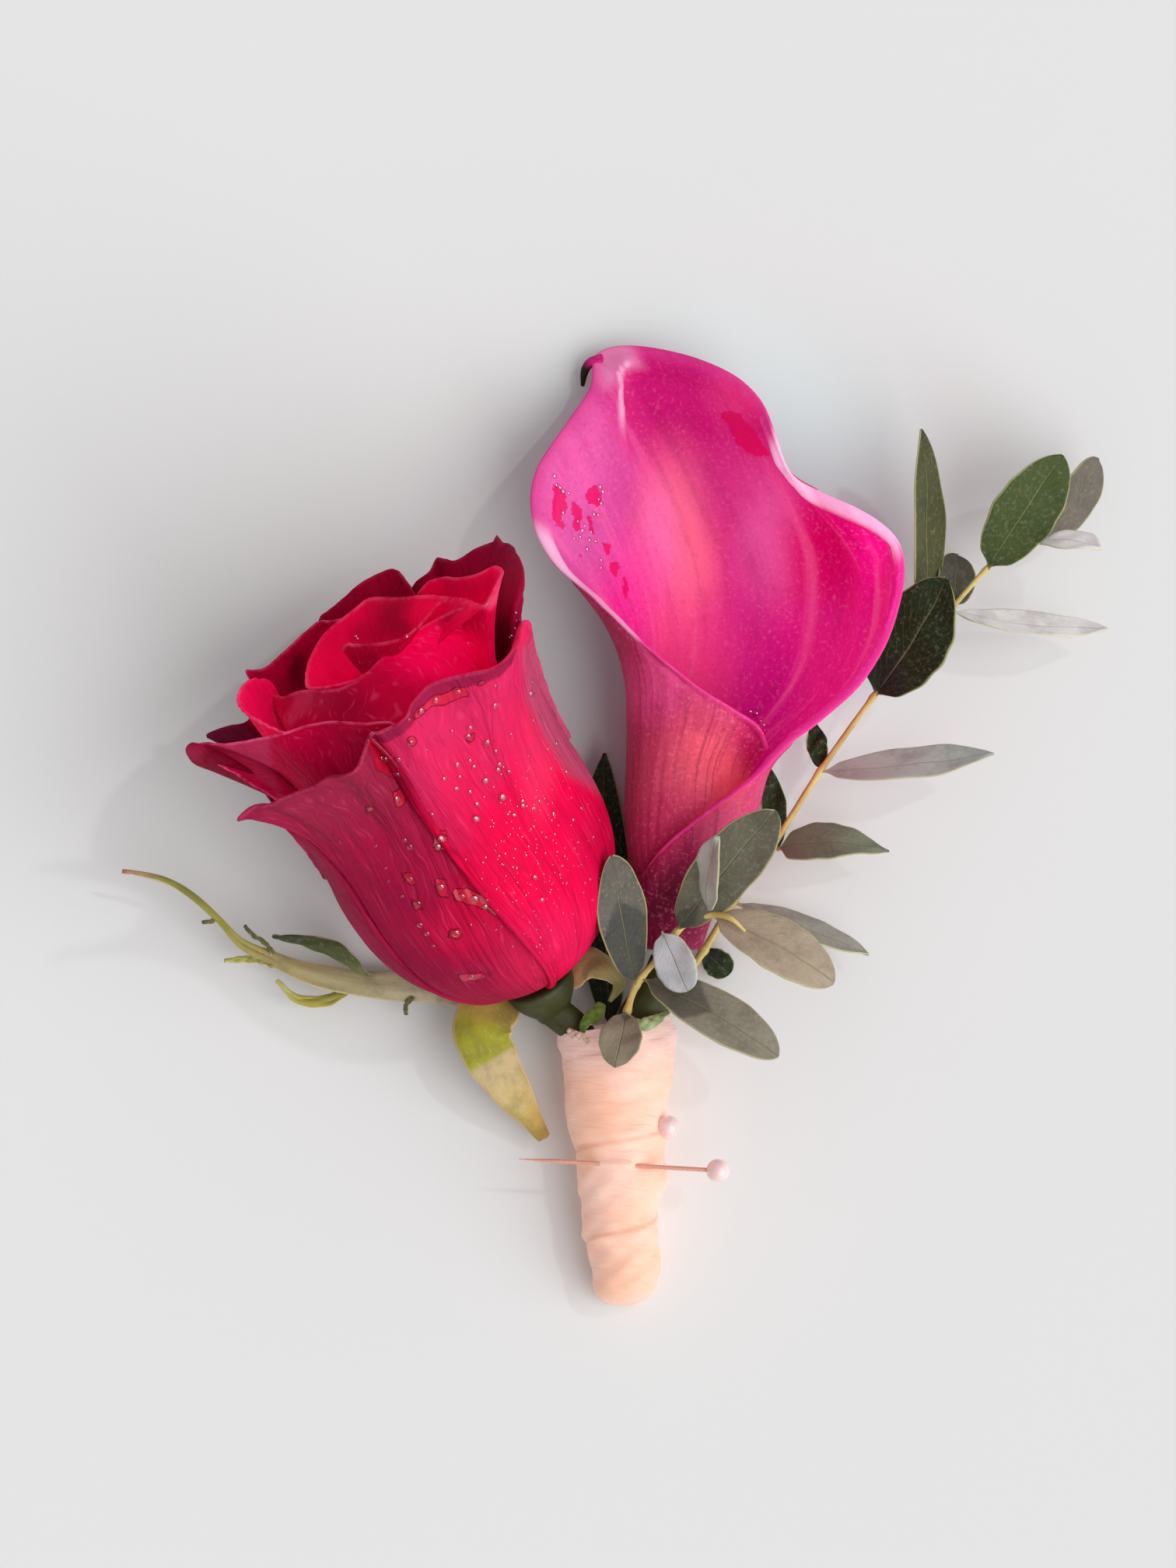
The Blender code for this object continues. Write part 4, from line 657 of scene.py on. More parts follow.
def ripple(u, v, seed, waves_u, waves_v, count=14):
    """Smooth random waves over a grid, about one high."""
    draw = np.random.default_rng(seed)
    total = 0.0
    for _ in range(count):
        turn_u = draw.uniform(0.3, 1) * waves_u * draw.choice((-1, 1))
        turn_v = draw.uniform(0.3, 1) * waves_v
        total = total + np.sin(2 * np.pi * (turn_u * u + turn_v * v) + draw.uniform(0, 6.3))
    return total / math.sqrt(count)


def facing(grid):
    """The direction that each point of a grid faces."""
    return unit(np.cross(np.gradient(grid, axis=1), np.gradient(grid, axis=0)))


def plain_mesh(name, points, faces, uv=None, marks=None):
    """A smooth mesh object from points in mm, with a UV map and named marks on its points."""
    mesh = bpy.data.meshes.new(name)
    mesh.from_pydata((np.asarray(points) * MM).tolist(), [], faces)
    mesh.update()
    corners = np.zeros(len(mesh.loops), int)
    mesh.loops.foreach_get("vertex_index", corners)
    if uv is not None:
        layer = mesh.uv_layers.new(name="UVMap")
        layer.data.foreach_set("uv", np.asarray(uv, np.float32)[corners].ravel())
    for key, values in (marks or {}).items():
        values = np.asarray(values, np.float32)
        if values.ndim == 2:
            layer = mesh.attributes.new(key, "FLOAT_COLOR", "POINT")
            layer.data.foreach_set("color", np.column_stack([values, np.ones(len(values))]).ravel())
        else:
            mesh.attributes.new(key, "FLOAT", "POINT").data.foreach_set("value", values)
    mesh.polygons.foreach_set("use_smooth", [True] * len(mesh.polygons))
    made = bpy.data.objects.new(name, mesh)
    bpy.context.scene.collection.objects.link(made)
    return made


def grid_quads(rows, columns, flip=False, round_=False):
    """The faces between a grid's points. When round_, the last column joins the first."""
    r, c = np.meshgrid(np.arange(rows - 1), np.arange(columns if round_ else columns - 1), indexing="ij")
    d = (c + 1) % columns
    quads = np.stack([r * columns + c, r * columns + d, (r + 1) * columns + d, (r + 1) * columns + c], -1)
    quads = quads.reshape(-1, 4)
    return (quads[:, ::-1] if flip else quads).tolist()


def capped_faces(rings, sides, flip=False):
    """The faces round a stack of rings, whose points two end points follow."""
    last, foot, tip = (rings - 1) * sides, rings * sides, rings * sides + 1
    faces = grid_quads(rings, sides, round_=True)
    faces += [[(i + 1) % sides, i, foot] for i in range(sides)]
    faces += [[last + i, last + (i + 1) % sides, tip] for i in range(sides)]
    return [face[::-1] for face in faces] if flip else faces


def blade(name, grid, thickness, marks=None, thin_edge=0.45):
    """A thin closed sheet round a grid of points. Its mark "side" is 1 where the grid faces."""
    rows, columns = grid.shape[:2]
    r, c = np.meshgrid(np.arange(rows), np.arange(columns), indexing="ij")
    rim = np.minimum(np.minimum(r, rows - 1 - r), np.minimum(c, columns - 1 - c))
    half = thickness / 2 * np.interp(rim, (0, 1, 3), (thin_edge, 0.85, 1))
    offset = facing(grid) * half[..., None]
    points = np.vstack([(grid + offset).reshape(-1, 3), (grid - offset).reshape(-1, 3)])
    n = rows * columns
    border = [(0, c) for c in range(columns)] + [(r, columns - 1) for r in range(1, rows)]
    border += [(rows - 1, c) for c in range(columns - 2, -1, -1)] + [(r, 0) for r in range(rows - 2, 0, -1)]
    ring = [r * columns + c for r, c in border]
    faces = grid_quads(rows, columns)
    faces += [[q + n for q in quad] for quad in grid_quads(rows, columns, flip=True)]
    faces += [[b, a, a + n, b + n] for a, b in zip(ring, ring[1:] + ring[:1])]
    uv = np.column_stack([(c / (columns - 1)).ravel(), (r / (rows - 1)).ravel()])
    all_marks = {"side": np.concatenate([np.ones(n), np.zeros(n)])}
    for key, values in (marks or {}).items():
        values = np.asarray(values, float)
        flat = values.reshape(n, -1) if values.ndim == 3 else values.reshape(n)
        all_marks[key] = np.concatenate([flat, flat])
    return plain_mesh(name, points, faces, np.vstack([uv, uv]), all_marks)


def tube(name, route, radii, sides=16, rings=60, marks=None, swell=1.0):
    """A round closed stalk along a smooth route. Swell widens it, ring by ring."""
    places = through(route, rings)
    share = np.linspace(0, 1, rings)
    widths = spread(radii, rings) * swell
    along = unit(np.gradient(places, axis=0))
    across = np.zeros_like(places)
    side = unit(np.cross(along[0], (0.3, 0.2, 1.0)))
    for i in range(rings):
        side = unit(side - along[i] * side.dot(along[i]))
        across[i] = side
    other = np.cross(along, across)
    turn = np.linspace(0, 2 * np.pi, sides, endpoint=False)
    ring = across[:, None] * np.cos(turn)[None, :, None] + other[:, None] * np.sin(turn)[None, :, None]
    grid = places[:, None] + ring * widths[:, None, None]
    ends = np.vstack([places[0] - along[0] * widths[0] * 0.4, places[-1] + along[-1] * widths[-1] * 0.4])
    points = np.vstack([grid.reshape(-1, 3), ends])
    uv = np.column_stack([np.tile(turn / (2 * np.pi), rings), np.repeat(share, sides)])
    uv = np.vstack([uv, (0.5, 0), (0.5, 1)])
    all_marks = {"side": np.ones(len(points))}
    for key, values in (marks or {}).items():
        values = np.asarray(values, float)
        filled = np.repeat(values, sides, axis=0)
        all_marks[key] = np.concatenate([filled, values[:1], values[-1:]])
    return plain_mesh(name, points, capped_faces(rings, sides), uv, all_marks)


def turned(name, outline, to_world, sides=64, rings=60):
    """An outline of (radius, height) turned about an axis."""
    line = through(outline, rings)
    line[0, 0] = line[-1, 0] = 0.0
    turn = np.linspace(0, 2 * np.pi, sides, endpoint=False)
    inner = line[1:-1]
    grid = np.stack([to_world(t, inner[:, 1], np.abs(inner[:, 0])) for t in turn], axis=1)
    ends = np.vstack([to_world(0.0, line[:1, 1], line[:1, 0]), to_world(0.0, line[-1:, 1], line[-1:, 0])])
    rows = len(inner)
    points = np.vstack([grid.reshape(-1, 3), ends])
    uv = np.column_stack([np.tile(turn / (2 * np.pi), rows), np.repeat(np.linspace(1, 0, rows), sides)])
    made = plain_mesh(name, points, capped_faces(rows, sides, flip=True), np.vstack([uv, (0.5, 1), (0.5, 0)]),
                      {"side": np.ones(len(points))})
    face_out(made.data)
    return made


def face_out(mesh):
    """Turns a closed mesh's faces outward."""
    shape = bmesh.new()
    shape.from_mesh(mesh)
    bmesh.ops.recalc_face_normals(shape, faces=shape.faces)
    shape.to_mesh(mesh)
    shape.free()


def fused(name, pieces):
    """Several meshes as one object, with their marks."""
    with bpy.context.temp_override(active_object=pieces[0], selected_editable_objects=pieces,
                                   selected_objects=pieces):
        bpy.ops.object.join()
    pieces[0].name = name
    pieces[0].data.name = name
    return pieces[0]


def placed(piece, finish, node):
    """Gives a piece its material and its place in the frame."""
    piece.data.materials.clear()
    piece.data.materials.append(finish)
    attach(piece, "root")
    if node:
        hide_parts(node)
    return piece


# Finishes
def tint(red, green, blue):
    """A colour from 0 to 255, as shaders take it."""
    return tuple(((c / 255 + 0.055) / 1.055) ** 2.4 if c > 10 else c / 3294.6 for c in (red, green, blue)) + (1.0,)


def colours_at(stops, at):
    """The colours at some shares of the way along a row of stops."""
    shares = [stop[0] for stop in stops]
    colours = np.array([tint(*stop[1])[:3] for stop in stops])
    return np.stack([np.interp(at, shares, column) for column in colours.T], -1)


class Value:
    """A shader socket that takes part in sums and products."""

    def __init__(self, finish, socket):
        self.finish = finish
        self.socket = socket

    def _with(self, operation, first, second):
        return self.finish.node("ShaderNodeMath", {"operation": operation}, {0: first, 1: second})

    def __add__(self, other):
        return self._with("ADD", self, other)

    def __radd__(self, other):
        return self._with("ADD", other, self)

    def __sub__(self, other):
        return self._with("SUBTRACT", self, other)

    def __rsub__(self, other):
        return self._with("SUBTRACT", other, self)

    def __mul__(self, other):
        return self._with("MULTIPLY", self, other)

    def __rmul__(self, other):
        return self._with("MULTIPLY", other, self)


class Finish:
    """A material with the numbers that are the same all over it, and a way to add its nodes."""

    def __init__(self, name, constants):
        self.material = bpy.data.materials.new(name)
        self.material.use_nodes = True
        self.tree = self.material.node_tree
        self.shader = self.tree.nodes["Principled BSDF"]
        for socket, value in constants.items():
            self.shader.inputs[socket].default_value = value

    def node(self, kind, settings=None, inputs=None, out=0):
        made = self.tree.nodes.new(kind)
        for key, value in (settings or {}).items():
            if key == "stops":
                ramp = made.color_ramp.elements
                ramp.remove(ramp[1])
                ramp[0].position, ramp[0].color = value[0]
                for place, colour in value[1:]:
                    ramp.new(place).color = colour
            else:
                setattr(made, key, value)
        for key, value in (inputs or {}).items():
            self.feed(made.inputs[key], value)
        return Value(self, made.outputs[out])

    def feed(self, socket, value):
        if isinstance(value, Value):
            self.tree.links.new(value.socket, socket)
        else:
            socket.default_value = value

    def coordinates(self, kind):
        return self.node("ShaderNodeTexCoord", out=kind)

    def mark(self, name):
        return self.node("ShaderNodeAttribute", {"attribute_name": name}, out="Fac")

    def tone(self, name):
        return self.node("ShaderNodeAttribute", {"attribute_name": name}, out="Color")

    def parts(self, vector):
        split = self.node("ShaderNodeSeparateXYZ", inputs={0: vector})
        outputs = split.socket.node.outputs
        return tuple(Value(self, outputs[i]) for i in range(3))

    def vector(self, x, y, z=0.0):
        return self.node("ShaderNodeCombineXYZ", inputs={0: x, 1: y, 2: z})

    def noise(self, vector, scale, detail=2.0, roughness=0.5, distortion=0.0):
        return self.node("ShaderNodeTexNoise", inputs={
            "Vector": vector, "Scale": scale, "Detail": detail, "Roughness": roughness, "Distortion": distortion,
        })

    def step(self, value, low, high):
        return self.node("ShaderNodeMapRange", {"interpolation_type": "SMOOTHSTEP"},
                         {"Value": value, "From Min": low, "From Max": high})

    def mix(self, share, first, second):
        return self.node("ShaderNodeMix", {"data_type": "RGBA"}, {0: share, 6: first, 7: second}, out=2)

    def near(self, place, pixel, size):
        """One at a pixel's place, seen from above, fading to nothing at a size in mm."""
        x, y, _ = (spot(*pixel, SCALE_HEIGHT) * MM).tolist()
        away = self.node("ShaderNodeVectorMath", {"operation": "SUBTRACT"}, {0: place, 1: (x, y, 0.0)})
        scaled = self.node("ShaderNodeVectorMath", {"operation": "MULTIPLY"},
                           {0: away, 1: (1 / (size[0] * MM), 1 / (size[1] * MM), 0.0)})
        far = self.node("ShaderNodeVectorMath", {"operation": "LENGTH"}, {0: scaled}, out="Value")
        return self.step(far, 1.0, 0.0)

    def relief(self, height):
        """The normal of a surface that stands up by a height in mm."""
        return self.node("ShaderNodeBump", inputs={"Height": height, "Distance": MM, "Strength": 1.0})

    def paint(self, **sockets):
        for socket, value in sockets.items():
            self.feed(self.shader.inputs[socket.replace("_", " ")], value)
        return self.material


def petal_finish(name):
    f = Finish(name, {
        "Specular IOR Level": 0.04, "Coat Roughness": 0.1, "Coat IOR": 1.33, "Emission Strength": 1.0,
    })
    u, v, _ = f.parts(f.coordinates("UV"))
    place = f.coordinates("Object")
    outside = f.mark("side")
    broad = f.noise(f.vector(u * 9, v * 2.2), 1.0, 2.0, 0.6, 0.9)
    veins = f.noise(f.vector(u * 46 + broad * 5.5, v * 3.4), 1.0, 3.0, 0.65)
    threads = f.noise(f.vector(u * 130 + broad * 14.0, v * 9.0), 1.0, 1.0)
    grain = f.noise(place, 1500.0, 1.0)
    cloud = f.noise(place, 130.0, 3.0, 0.55)
    rough_edge = f.noise(place, 480.0, 2.0, 0.6) - 0.5
    fill = f.tone("tone")
    deeper = f.mix(0.6, fill, tint(110, 0, 36))
    fill = f.mix(f.step(cloud, 0.35, 0.75) * 0.25, fill, deeper)
    # Painted sheen: the outside pales towards the rim, as a velvety sheen looks.
    sheen_mask = f.step(f.mark("dusk") + (cloud - 0.5) * 0.6 + (veins - 0.5) * 0.4, 0.1, 0.9) * outside
    fill = f.mix(sheen_mask * 0.85, fill, f.tone("dusk_tone"))
    fill = f.mix(f.step(veins, 0.5, 0.72) * 0.4 * outside, fill, f.mix(0.5, fill, tint(110, 0, 40)))
    fill = f.mix(f.step(threads, 0.58, 0.75) * 0.22 * outside, fill, tint(120, 6, 46))
    fill = f.mix(f.step(threads, 0.42, 0.28) * 0.16 * outside, fill, tint(250, 90, 140))
    # Painted sheen and shade: a dull purplish strip on the front right petal's right side.
    dulled = f.step(f.mark("dulled") + (veins - 0.5) * 1.6, -1.1, 1.1) * outside
    fill = f.mix(dulled * 0.85, fill, tint(178, 76, 110))
    # Painted shade: a dark line under the rolled lip.
    fill = f.mix(f.step(f.mark("band") + rough_edge * 1.2, 0.1, 0.7) * 0.8 * outside, fill, tint(134, 22, 62))
    soaked = f.step(f.mark("soaked") + rough_edge * 1.3, -0.1, 0.14) * outside
    fill = f.mix(soaked * 0.85, fill, f.mix(0.75, fill, tint(206, 0, 44)))
    rim_of_water = f.step(f.mark("soaked") + rough_edge * 1.3, -0.22, -0.02) * (1.0 - soaked) * outside
    fill = f.mix(rim_of_water * 0.6, fill, tint(104, 0, 34))
    # Painted highlight: a pale line along the rim.
    fill = f.mix(f.mark("rim") * f.step(rough_edge, -0.2, 0.12), fill, tint(230, 84, 128))
    rough = 0.6 + (grain - 0.5) * 0.3 - soaked * 0.35
    relief = f.relief(veins * 0.6 + threads * 0.12 + soaked * 0.4 + grain * 0.05)
    glow = f.mix(f.mark("glow"), (0, 0, 0, 1), fill)
    return f.paint(Base_Color=fill, Roughness=rough, Normal=relief, Coat_Weight=soaked, Emission_Color=glow)


def core_finish():
    # The core is painted a deep red as shade, for the deep gaps between the petals.
    f = Finish("Rose core", {"Specular IOR Level": 0.1})
    grain = f.noise(f.coordinates("Object"), 300.0, 2.0)
    fill = f.mix(f.step(grain, 0.3, 0.7), tint(140, 0, 42), tint(104, 0, 32))
    return f.paint(Base_Color=fill, Roughness=0.6 + (grain - 0.5) * 0.2)


def calla_finish():
    f = Finish("Calla", {
        "Specular IOR Level": 0.08, "Coat Roughness": 0.12, "Coat IOR": 1.33, "Emission Strength": 1.0,
    })
    u, v, _ = f.parts(f.coordinates("UV"))
    place = f.coordinates("Object")
    inside = f.mark("side")
    streaks = f.noise(f.vector(u * 52, v * 2.0), 1.0, 3.0, 0.6, 0.25)
    lines = f.noise(f.vector(u * 110, v * 1.8), 1.0, 2.0, 0.5, 0.35)
    grain = f.noise(place, 1500.0, 3.0, 0.7)
    cloud = f.noise(place, 150.0, 3.0, 0.6)
    rough_edge = f.noise(place, 700.0, 2.0, 0.6) - 0.5
    face = f.tone("face")
    face = f.mix(f.step(streaks, 0.48, 0.72) * 0.5, face, f.mix(0.5, face, tint(150, 0, 90)))
    face = f.mix(f.step(streaks, 0.47, 0.27) * 0.4, face, tint(250, 110, 170))
    back = f.tone("back")
    back = f.mix(f.step(lines, 0.56, 0.68) * 0.4, back, tint(132, 20, 66))
    back = f.mix(f.step(cloud, 0.5, 0.7) * 0.25, back, tint(150, 34, 84))
    back = f.mix(f.step(grain, 0.5, 0.7) * 0.3, back, tint(232, 110, 130))
    fill = f.mix(inside, back, face)
    fill = f.mix(f.step(grain, 0.52, 0.72) * 0.22, fill, tint(250, 140, 190))
    fill = f.mix(f.step(grain, 0.46, 0.3) * 0.22, fill, tint(170, 0, 92))
    fill = f.mix(f.step(cloud, 0.5, 0.75) * 0.2, fill, tint(190, 6, 96))
    soaked = f.step(f.mark("soaked") + rough_edge * 1.6, -0.06, 0.1) * inside
    fill = f.mix(soaked * 0.85, fill, tint(226, 0, 96))
    fill = f.mix(f.mark("rim"), fill, tint(240, 70, 152))
    # Painted highlights on the rolled rim, along the crease and on the lit facet at the tip.
    fill = f.mix(f.mark("shine"), fill, tint(255, 205, 238))
    fill = f.mix(f.mark("tip"), fill, tint(52, 40, 34))
    rough = 0.5 + (grain - 0.5) * 0.25 - soaked * 0.3
    relief = f.relief(lines * 0.12 + soaked * 0.1 + grain * 0.06)
    glow = f.mix(f.mark("glow"), (0, 0, 0, 1), fill)
    return f.paint(Base_Color=fill, Roughness=rough, Normal=relief, Coat_Weight=soaked * 0.7, Emission_Color=glow)


def leaf_finish():
    f = Finish("Eucalyptus leaf", {"Specular IOR Level": 0.16, "Emission Strength": 1.0})
    u, v, _ = f.parts(f.coordinates("UV"))
    place = f.coordinates("Object")
    off = f.node("ShaderNodeMath", {"operation": "ABSOLUTE"}, {0: u - 0.5})
    grain = f.noise(place, 1500.0, 3.0, 0.7)
    cloud = f.noise(place, 190.0, 3.0, 0.6)
    wavy = f.node("ShaderNodeMath", {"operation": "SINE"}, {0: (v - off * 0.9) * 58.0 + cloud * 14.0})
    web = f.step(wavy, 0.86, 1.0)
    fill = f.tone("tone")
    dark = f.mix(0.55, fill, tint(24, 30, 18))
    pale = f.mix(0.35, fill, tint(206, 200, 186))
    fill = f.mix(f.step(cloud, 0.42, 0.7) * 0.5, fill, dark)
    fill = f.mix(f.step(grain, 0.5, 0.72) * 0.4, fill, pale)
    fill = f.mix(f.step(grain, 0.42, 0.28) * 0.35, fill, dark)
    fill = f.mix((1.0 - f.mark("side")) * 0.5, fill, tint(140, 136, 124))
    line = v + off * 0.35 + (cloud - 0.5) * 0.12
    fill = f.mix(f.step(f.mark("shaded") - line, -0.03, 0.03) * 0.55, fill, tint(38, 44, 44))
    fill = f.mix(web * 0.06, fill, tint(176, 170, 140))
    fill = f.mix(f.step(off, 0.016, 0.006) * 0.4, fill, tint(150, 146, 96))
    fill = f.mix(f.step(off, 0.468, 0.492) * 0.6, fill, tint(200, 196, 140))
    fill = f.mix(f.step(v, 0.07, 0.0) * 0.8, fill, tint(196, 176, 108))
    rough = 0.6 - f.step(cloud, 0.55, 0.75) * 0.2 + (grain - 0.5) * 0.3
    relief = f.relief(web * 0.03 - f.step(off, 0.03, 0.0) * 0.12 + grain * 0.05)
    glow = f.mix(f.mark("glow"), (0, 0, 0, 1), fill)
    return f.paint(Base_Color=fill, Roughness=rough, Normal=relief, Emission_Color=glow)


def stalk_finish(name, pale, warm, dark, roughness=0.55):
    f = Finish(name, {"Specular IOR Level": 0.4})
    u, v, _ = f.parts(f.coordinates("UV"))
    place = f.coordinates("Object")
    cloud = f.noise(place, 240.0, 3.0)
    ribs = f.noise(f.vector(u * 14, v * 5), 1.0, 3.0)
    grain = f.noise(place, 1800.0, 2.0)
    fill = f.mix(f.step(cloud, 0.35, 0.65), tint(*pale), tint(*warm))
    fill = f.mix(f.step(ribs + (grain - 0.5) * 0.4, 0.5, 0.75) * 0.55, fill, tint(*dark))
    relief = f.relief(ribs * 0.08 + grain * 0.03)
    return f.paint(Base_Color=fill, Roughness=roughness + (grain - 0.5) * 0.2, Normal=relief)


def sepal_finish():
    f = Finish("Sepal", {"Specular IOR Level": 0.3, "Sheen Weight": 0.35, "Sheen Roughness": 0.5,
                         "Sheen Tint": tint(240, 232, 200)})
    u, v, _ = f.parts(f.coordinates("UV"))
    place = f.coordinates("Object")
    off = f.node("ShaderNodeMath", {"operation": "ABSOLUTE"}, {0: u - 0.5})
    cloud = f.noise(place, 300.0, 4.0, 0.6)
    fibres = f.noise(f.vector(u * 12, v * 16), 1.0, 3.0, 0.6)
    grain = f.noise(place, 2600.0, 3.0, 0.7)
    fill = f.tone("tone")
    fill = f.mix(f.step(cloud, 0.42, 0.68) * 0.6, fill, f.mix(0.6, fill, tint(98, 94, 44)))
    fill = f.mix(f.step(grain, 0.55, 0.75) * 0.5, fill, f.mix(0.5, fill, tint(84, 80, 40)))
    fill = f.mix(f.step(fibres + (grain - 0.5) * 0.4, 0.55, 0.8) * 0.4, fill, tint(214, 204, 150))
    fill = f.mix(f.step(off, 0.44, 0.49) * 0.75, fill, tint(232, 200, 160))
    relief = f.relief(fibres * 0.1 + grain * 0.06)
    return f.paint(Base_Color=fill, Roughness=0.7 + (grain - 0.5) * 0.3, Normal=relief)


def tape_finish():
    f = Finish("Peach tape", {
        "Specular IOR Level": 0.3, "Emission Strength": 1.0, "Sheen Weight": 0.1,
        "Subsurface Weight": 0.3, "Subsurface Radius": (1.0, 0.5, 0.35), "Subsurface Scale": 0.0015,
    })
    u, v, _ = f.parts(f.coordinates("UV"))
    place = f.coordinates("Object")
    cloud = f.noise(place, 120.0, 3.0)
    crepe = f.noise(f.vector(u * 26 + v * 30, v * 260 - u * 16), 1.0, 3.0, 0.6, 0.5)
    pull = f.noise(f.vector(u * 7, v * 34 - u * 3), 1.0, 3.0, 0.55, 0.8)
    grain = f.noise(place, 2400.0, 2.0)
    fill = f.mix(f.step(cloud, 0.35, 0.65), tint(250, 194, 168), tint(254, 206, 188))
    fill = f.mix(f.mark("top") * 0.8, fill, tint(242, 206, 200))
    fill = f.mix(f.step(pull, 0.55, 0.75) * 0.35, fill, tint(244, 182, 154))
    fill = f.mix(f.mark("edge") * 0.5, fill, tint(226, 164, 138))
    fill = f.mix(f.mark("hem") * 0.8, fill, tint(244, 222, 214))
    relief = f.relief(pull * 0.35 + crepe * 0.1 + grain * 0.03)
    glow = f.mix(0.15, (0, 0, 0, 1), fill)
    return f.paint(Base_Color=fill, Roughness=0.55 + (crepe - 0.5) * 0.2, Normal=relief, Emission_Color=glow)


def pearl_finish():
    f = Finish("Pearl", {"Coat Weight": 0.8, "Coat Roughness": 0.06, "Specular IOR Level": 0.6,
                         "Subsurface Weight": 0.2, "Subsurface Radius": (1.0, 0.7, 0.6), "Subsurface Scale": 0.001})
    cloud = f.noise(f.coordinates("Object"), 420.0, 2.0)
    bands = f.noise(f.coordinates("Object"), 1400.0, 2.0)
    fill = f.mix(f.step(cloud, 0.35, 0.65), tint(252, 222, 216), tint(246, 206, 208))
    return f.paint(Base_Color=fill, Roughness=0.22 + (bands - 0.5) * 0.12, Normal=f.relief(bands * 0.01))


def pin_finish():
    f = Finish("Pin metal", {"Metallic": 0.35, "Specular IOR Level": 0.5})
    grain = f.noise(f.coordinates("Object"), 2000.0, 2.0)
    fill = f.mix(f.step(grain, 0.3, 0.7), tint(240, 176, 156), tint(230, 160, 140))
    return f.paint(Base_Color=fill, Roughness=0.28 + (grain - 0.5) * 0.2)


def spadix_finish():
    f = Finish("Spadix", {"Specular IOR Level": 0.3})
    grain = f.noise(f.coordinates("Object"), 1500.0, 3.0)
    fill = f.mix(f.step(grain, 0.35, 0.65), tint(246, 196, 60), tint(224, 158, 38))
    return f.paint(Base_Color=fill, Roughness=0.7 + (grain - 0.5) * 0.2, Normal=f.relief(grain * 0.1))


def water_finish():
    f = Finish("Water", {"Base Color": (1, 1, 1, 1), "IOR": 1.33, "Transmission Weight": 1.0, "Coat Weight": 1.0,
                         "Coat Roughness": 0.03, "Emission Strength": 1.1})
    ripples = f.noise(f.coordinates("Object"), 900.0, 1.0)
    # The glint is a painted highlight: emission where a drop faces GLINT_WAY.
    way = f.node("ShaderNodeNewGeometry", out="Normal")
    to_lamp = f.node("ShaderNodeVectorMath", {"operation": "DOT_PRODUCT"}, {0: way, 1: GLINT_WAY},
                    out="Value")
    glint = f.mix(f.step(to_lamp, 0.955, 0.992), (0, 0, 0, 1), (1, 0.72, 0.79, 1))
    return f.paint(Roughness=ripples * 0.04, Emission_Color=glint)


def floor_finish():
    f = Finish("Pale floor", {"Specular IOR Level": 0.1})
    place = f.coordinates("Object")
    grain = f.noise(place, 6.0, 2.0)
    fill = f.mix(grain, tint(231, 231, 231), tint(229, 229, 229))
    pixel, size, strength = FLOOR_COOLED
    fill = f.mix(f.near(place, pixel, size) * strength, fill, tint(222, 255, 253))
    return f.paint(Base_Color=fill, Roughness=0.9 + (grain - 0.5) * 0.05)


# The rose
AXIS = unit([*(part * math.cos(ROSE_TILT) for part in ROSE_HEADING), math.sin(ROSE_TILT)])
FRONT = unit(np.array([0, 0, 1.0]) - AXIS[2] * AXIS)
RIGHT = np.cross(AXIS, FRONT)
PROFILE = through(ROSE_PROFILE, 240)


def in_rose(angle, height, radius):
    """Points at angles in radians round the rose's axis, heights along it and distances from it."""
    height, radius = np.asarray(height, float), np.asarray(radius, float)
    way = np.multiply.outer(np.cos(angle), FRONT) + np.multiply.outer(np.sin(angle), RIGHT)
    return ROSE_BASE + height[..., None] * AXIS + radius[..., None] * way


def body_radius(height):
    """How far the bloom's body reaches from its axis at heights along it."""
    return np.interp(height, PROFILE[:, 0], PROFILE[:, 1])


def on_rose(across, down, height):
    """The point that is seen at a pixel and lies at a height along the rose's axis."""
    low, high = spot(across, down, 0.0), spot(across, down, 60.0)
    return low + (high - low) * ((height - (low - ROSE_BASE) @ AXIS) / ((high - low) @ AXIS))


def painted(grid, tone, spots=(), patches=()):
    """Colours over a grid: a tone with soft spots and soft-edged patches of others on it."""
    pixels = seen_at(grid)
    tone = tone + np.zeros(grid.shape)
    for pixel, size, colour, strength in spots:
        away = np.linalg.norm((pixels - pixel) * PIXEL / np.array(size), axis=-1)
        share = (strength * eased(1.25 - away))[..., None]
        tone = tone * (1 - share) + np.array(tint(*colour)[:3]) * share
    for outline, colour, soft, strength in patches:
        share = (strength * eased(within(grid, (outline,)) / soft + 0.5))[..., None]
        tone = tone * (1 - share) + np.array(tint(*colour)[:3]) * share
    return tone


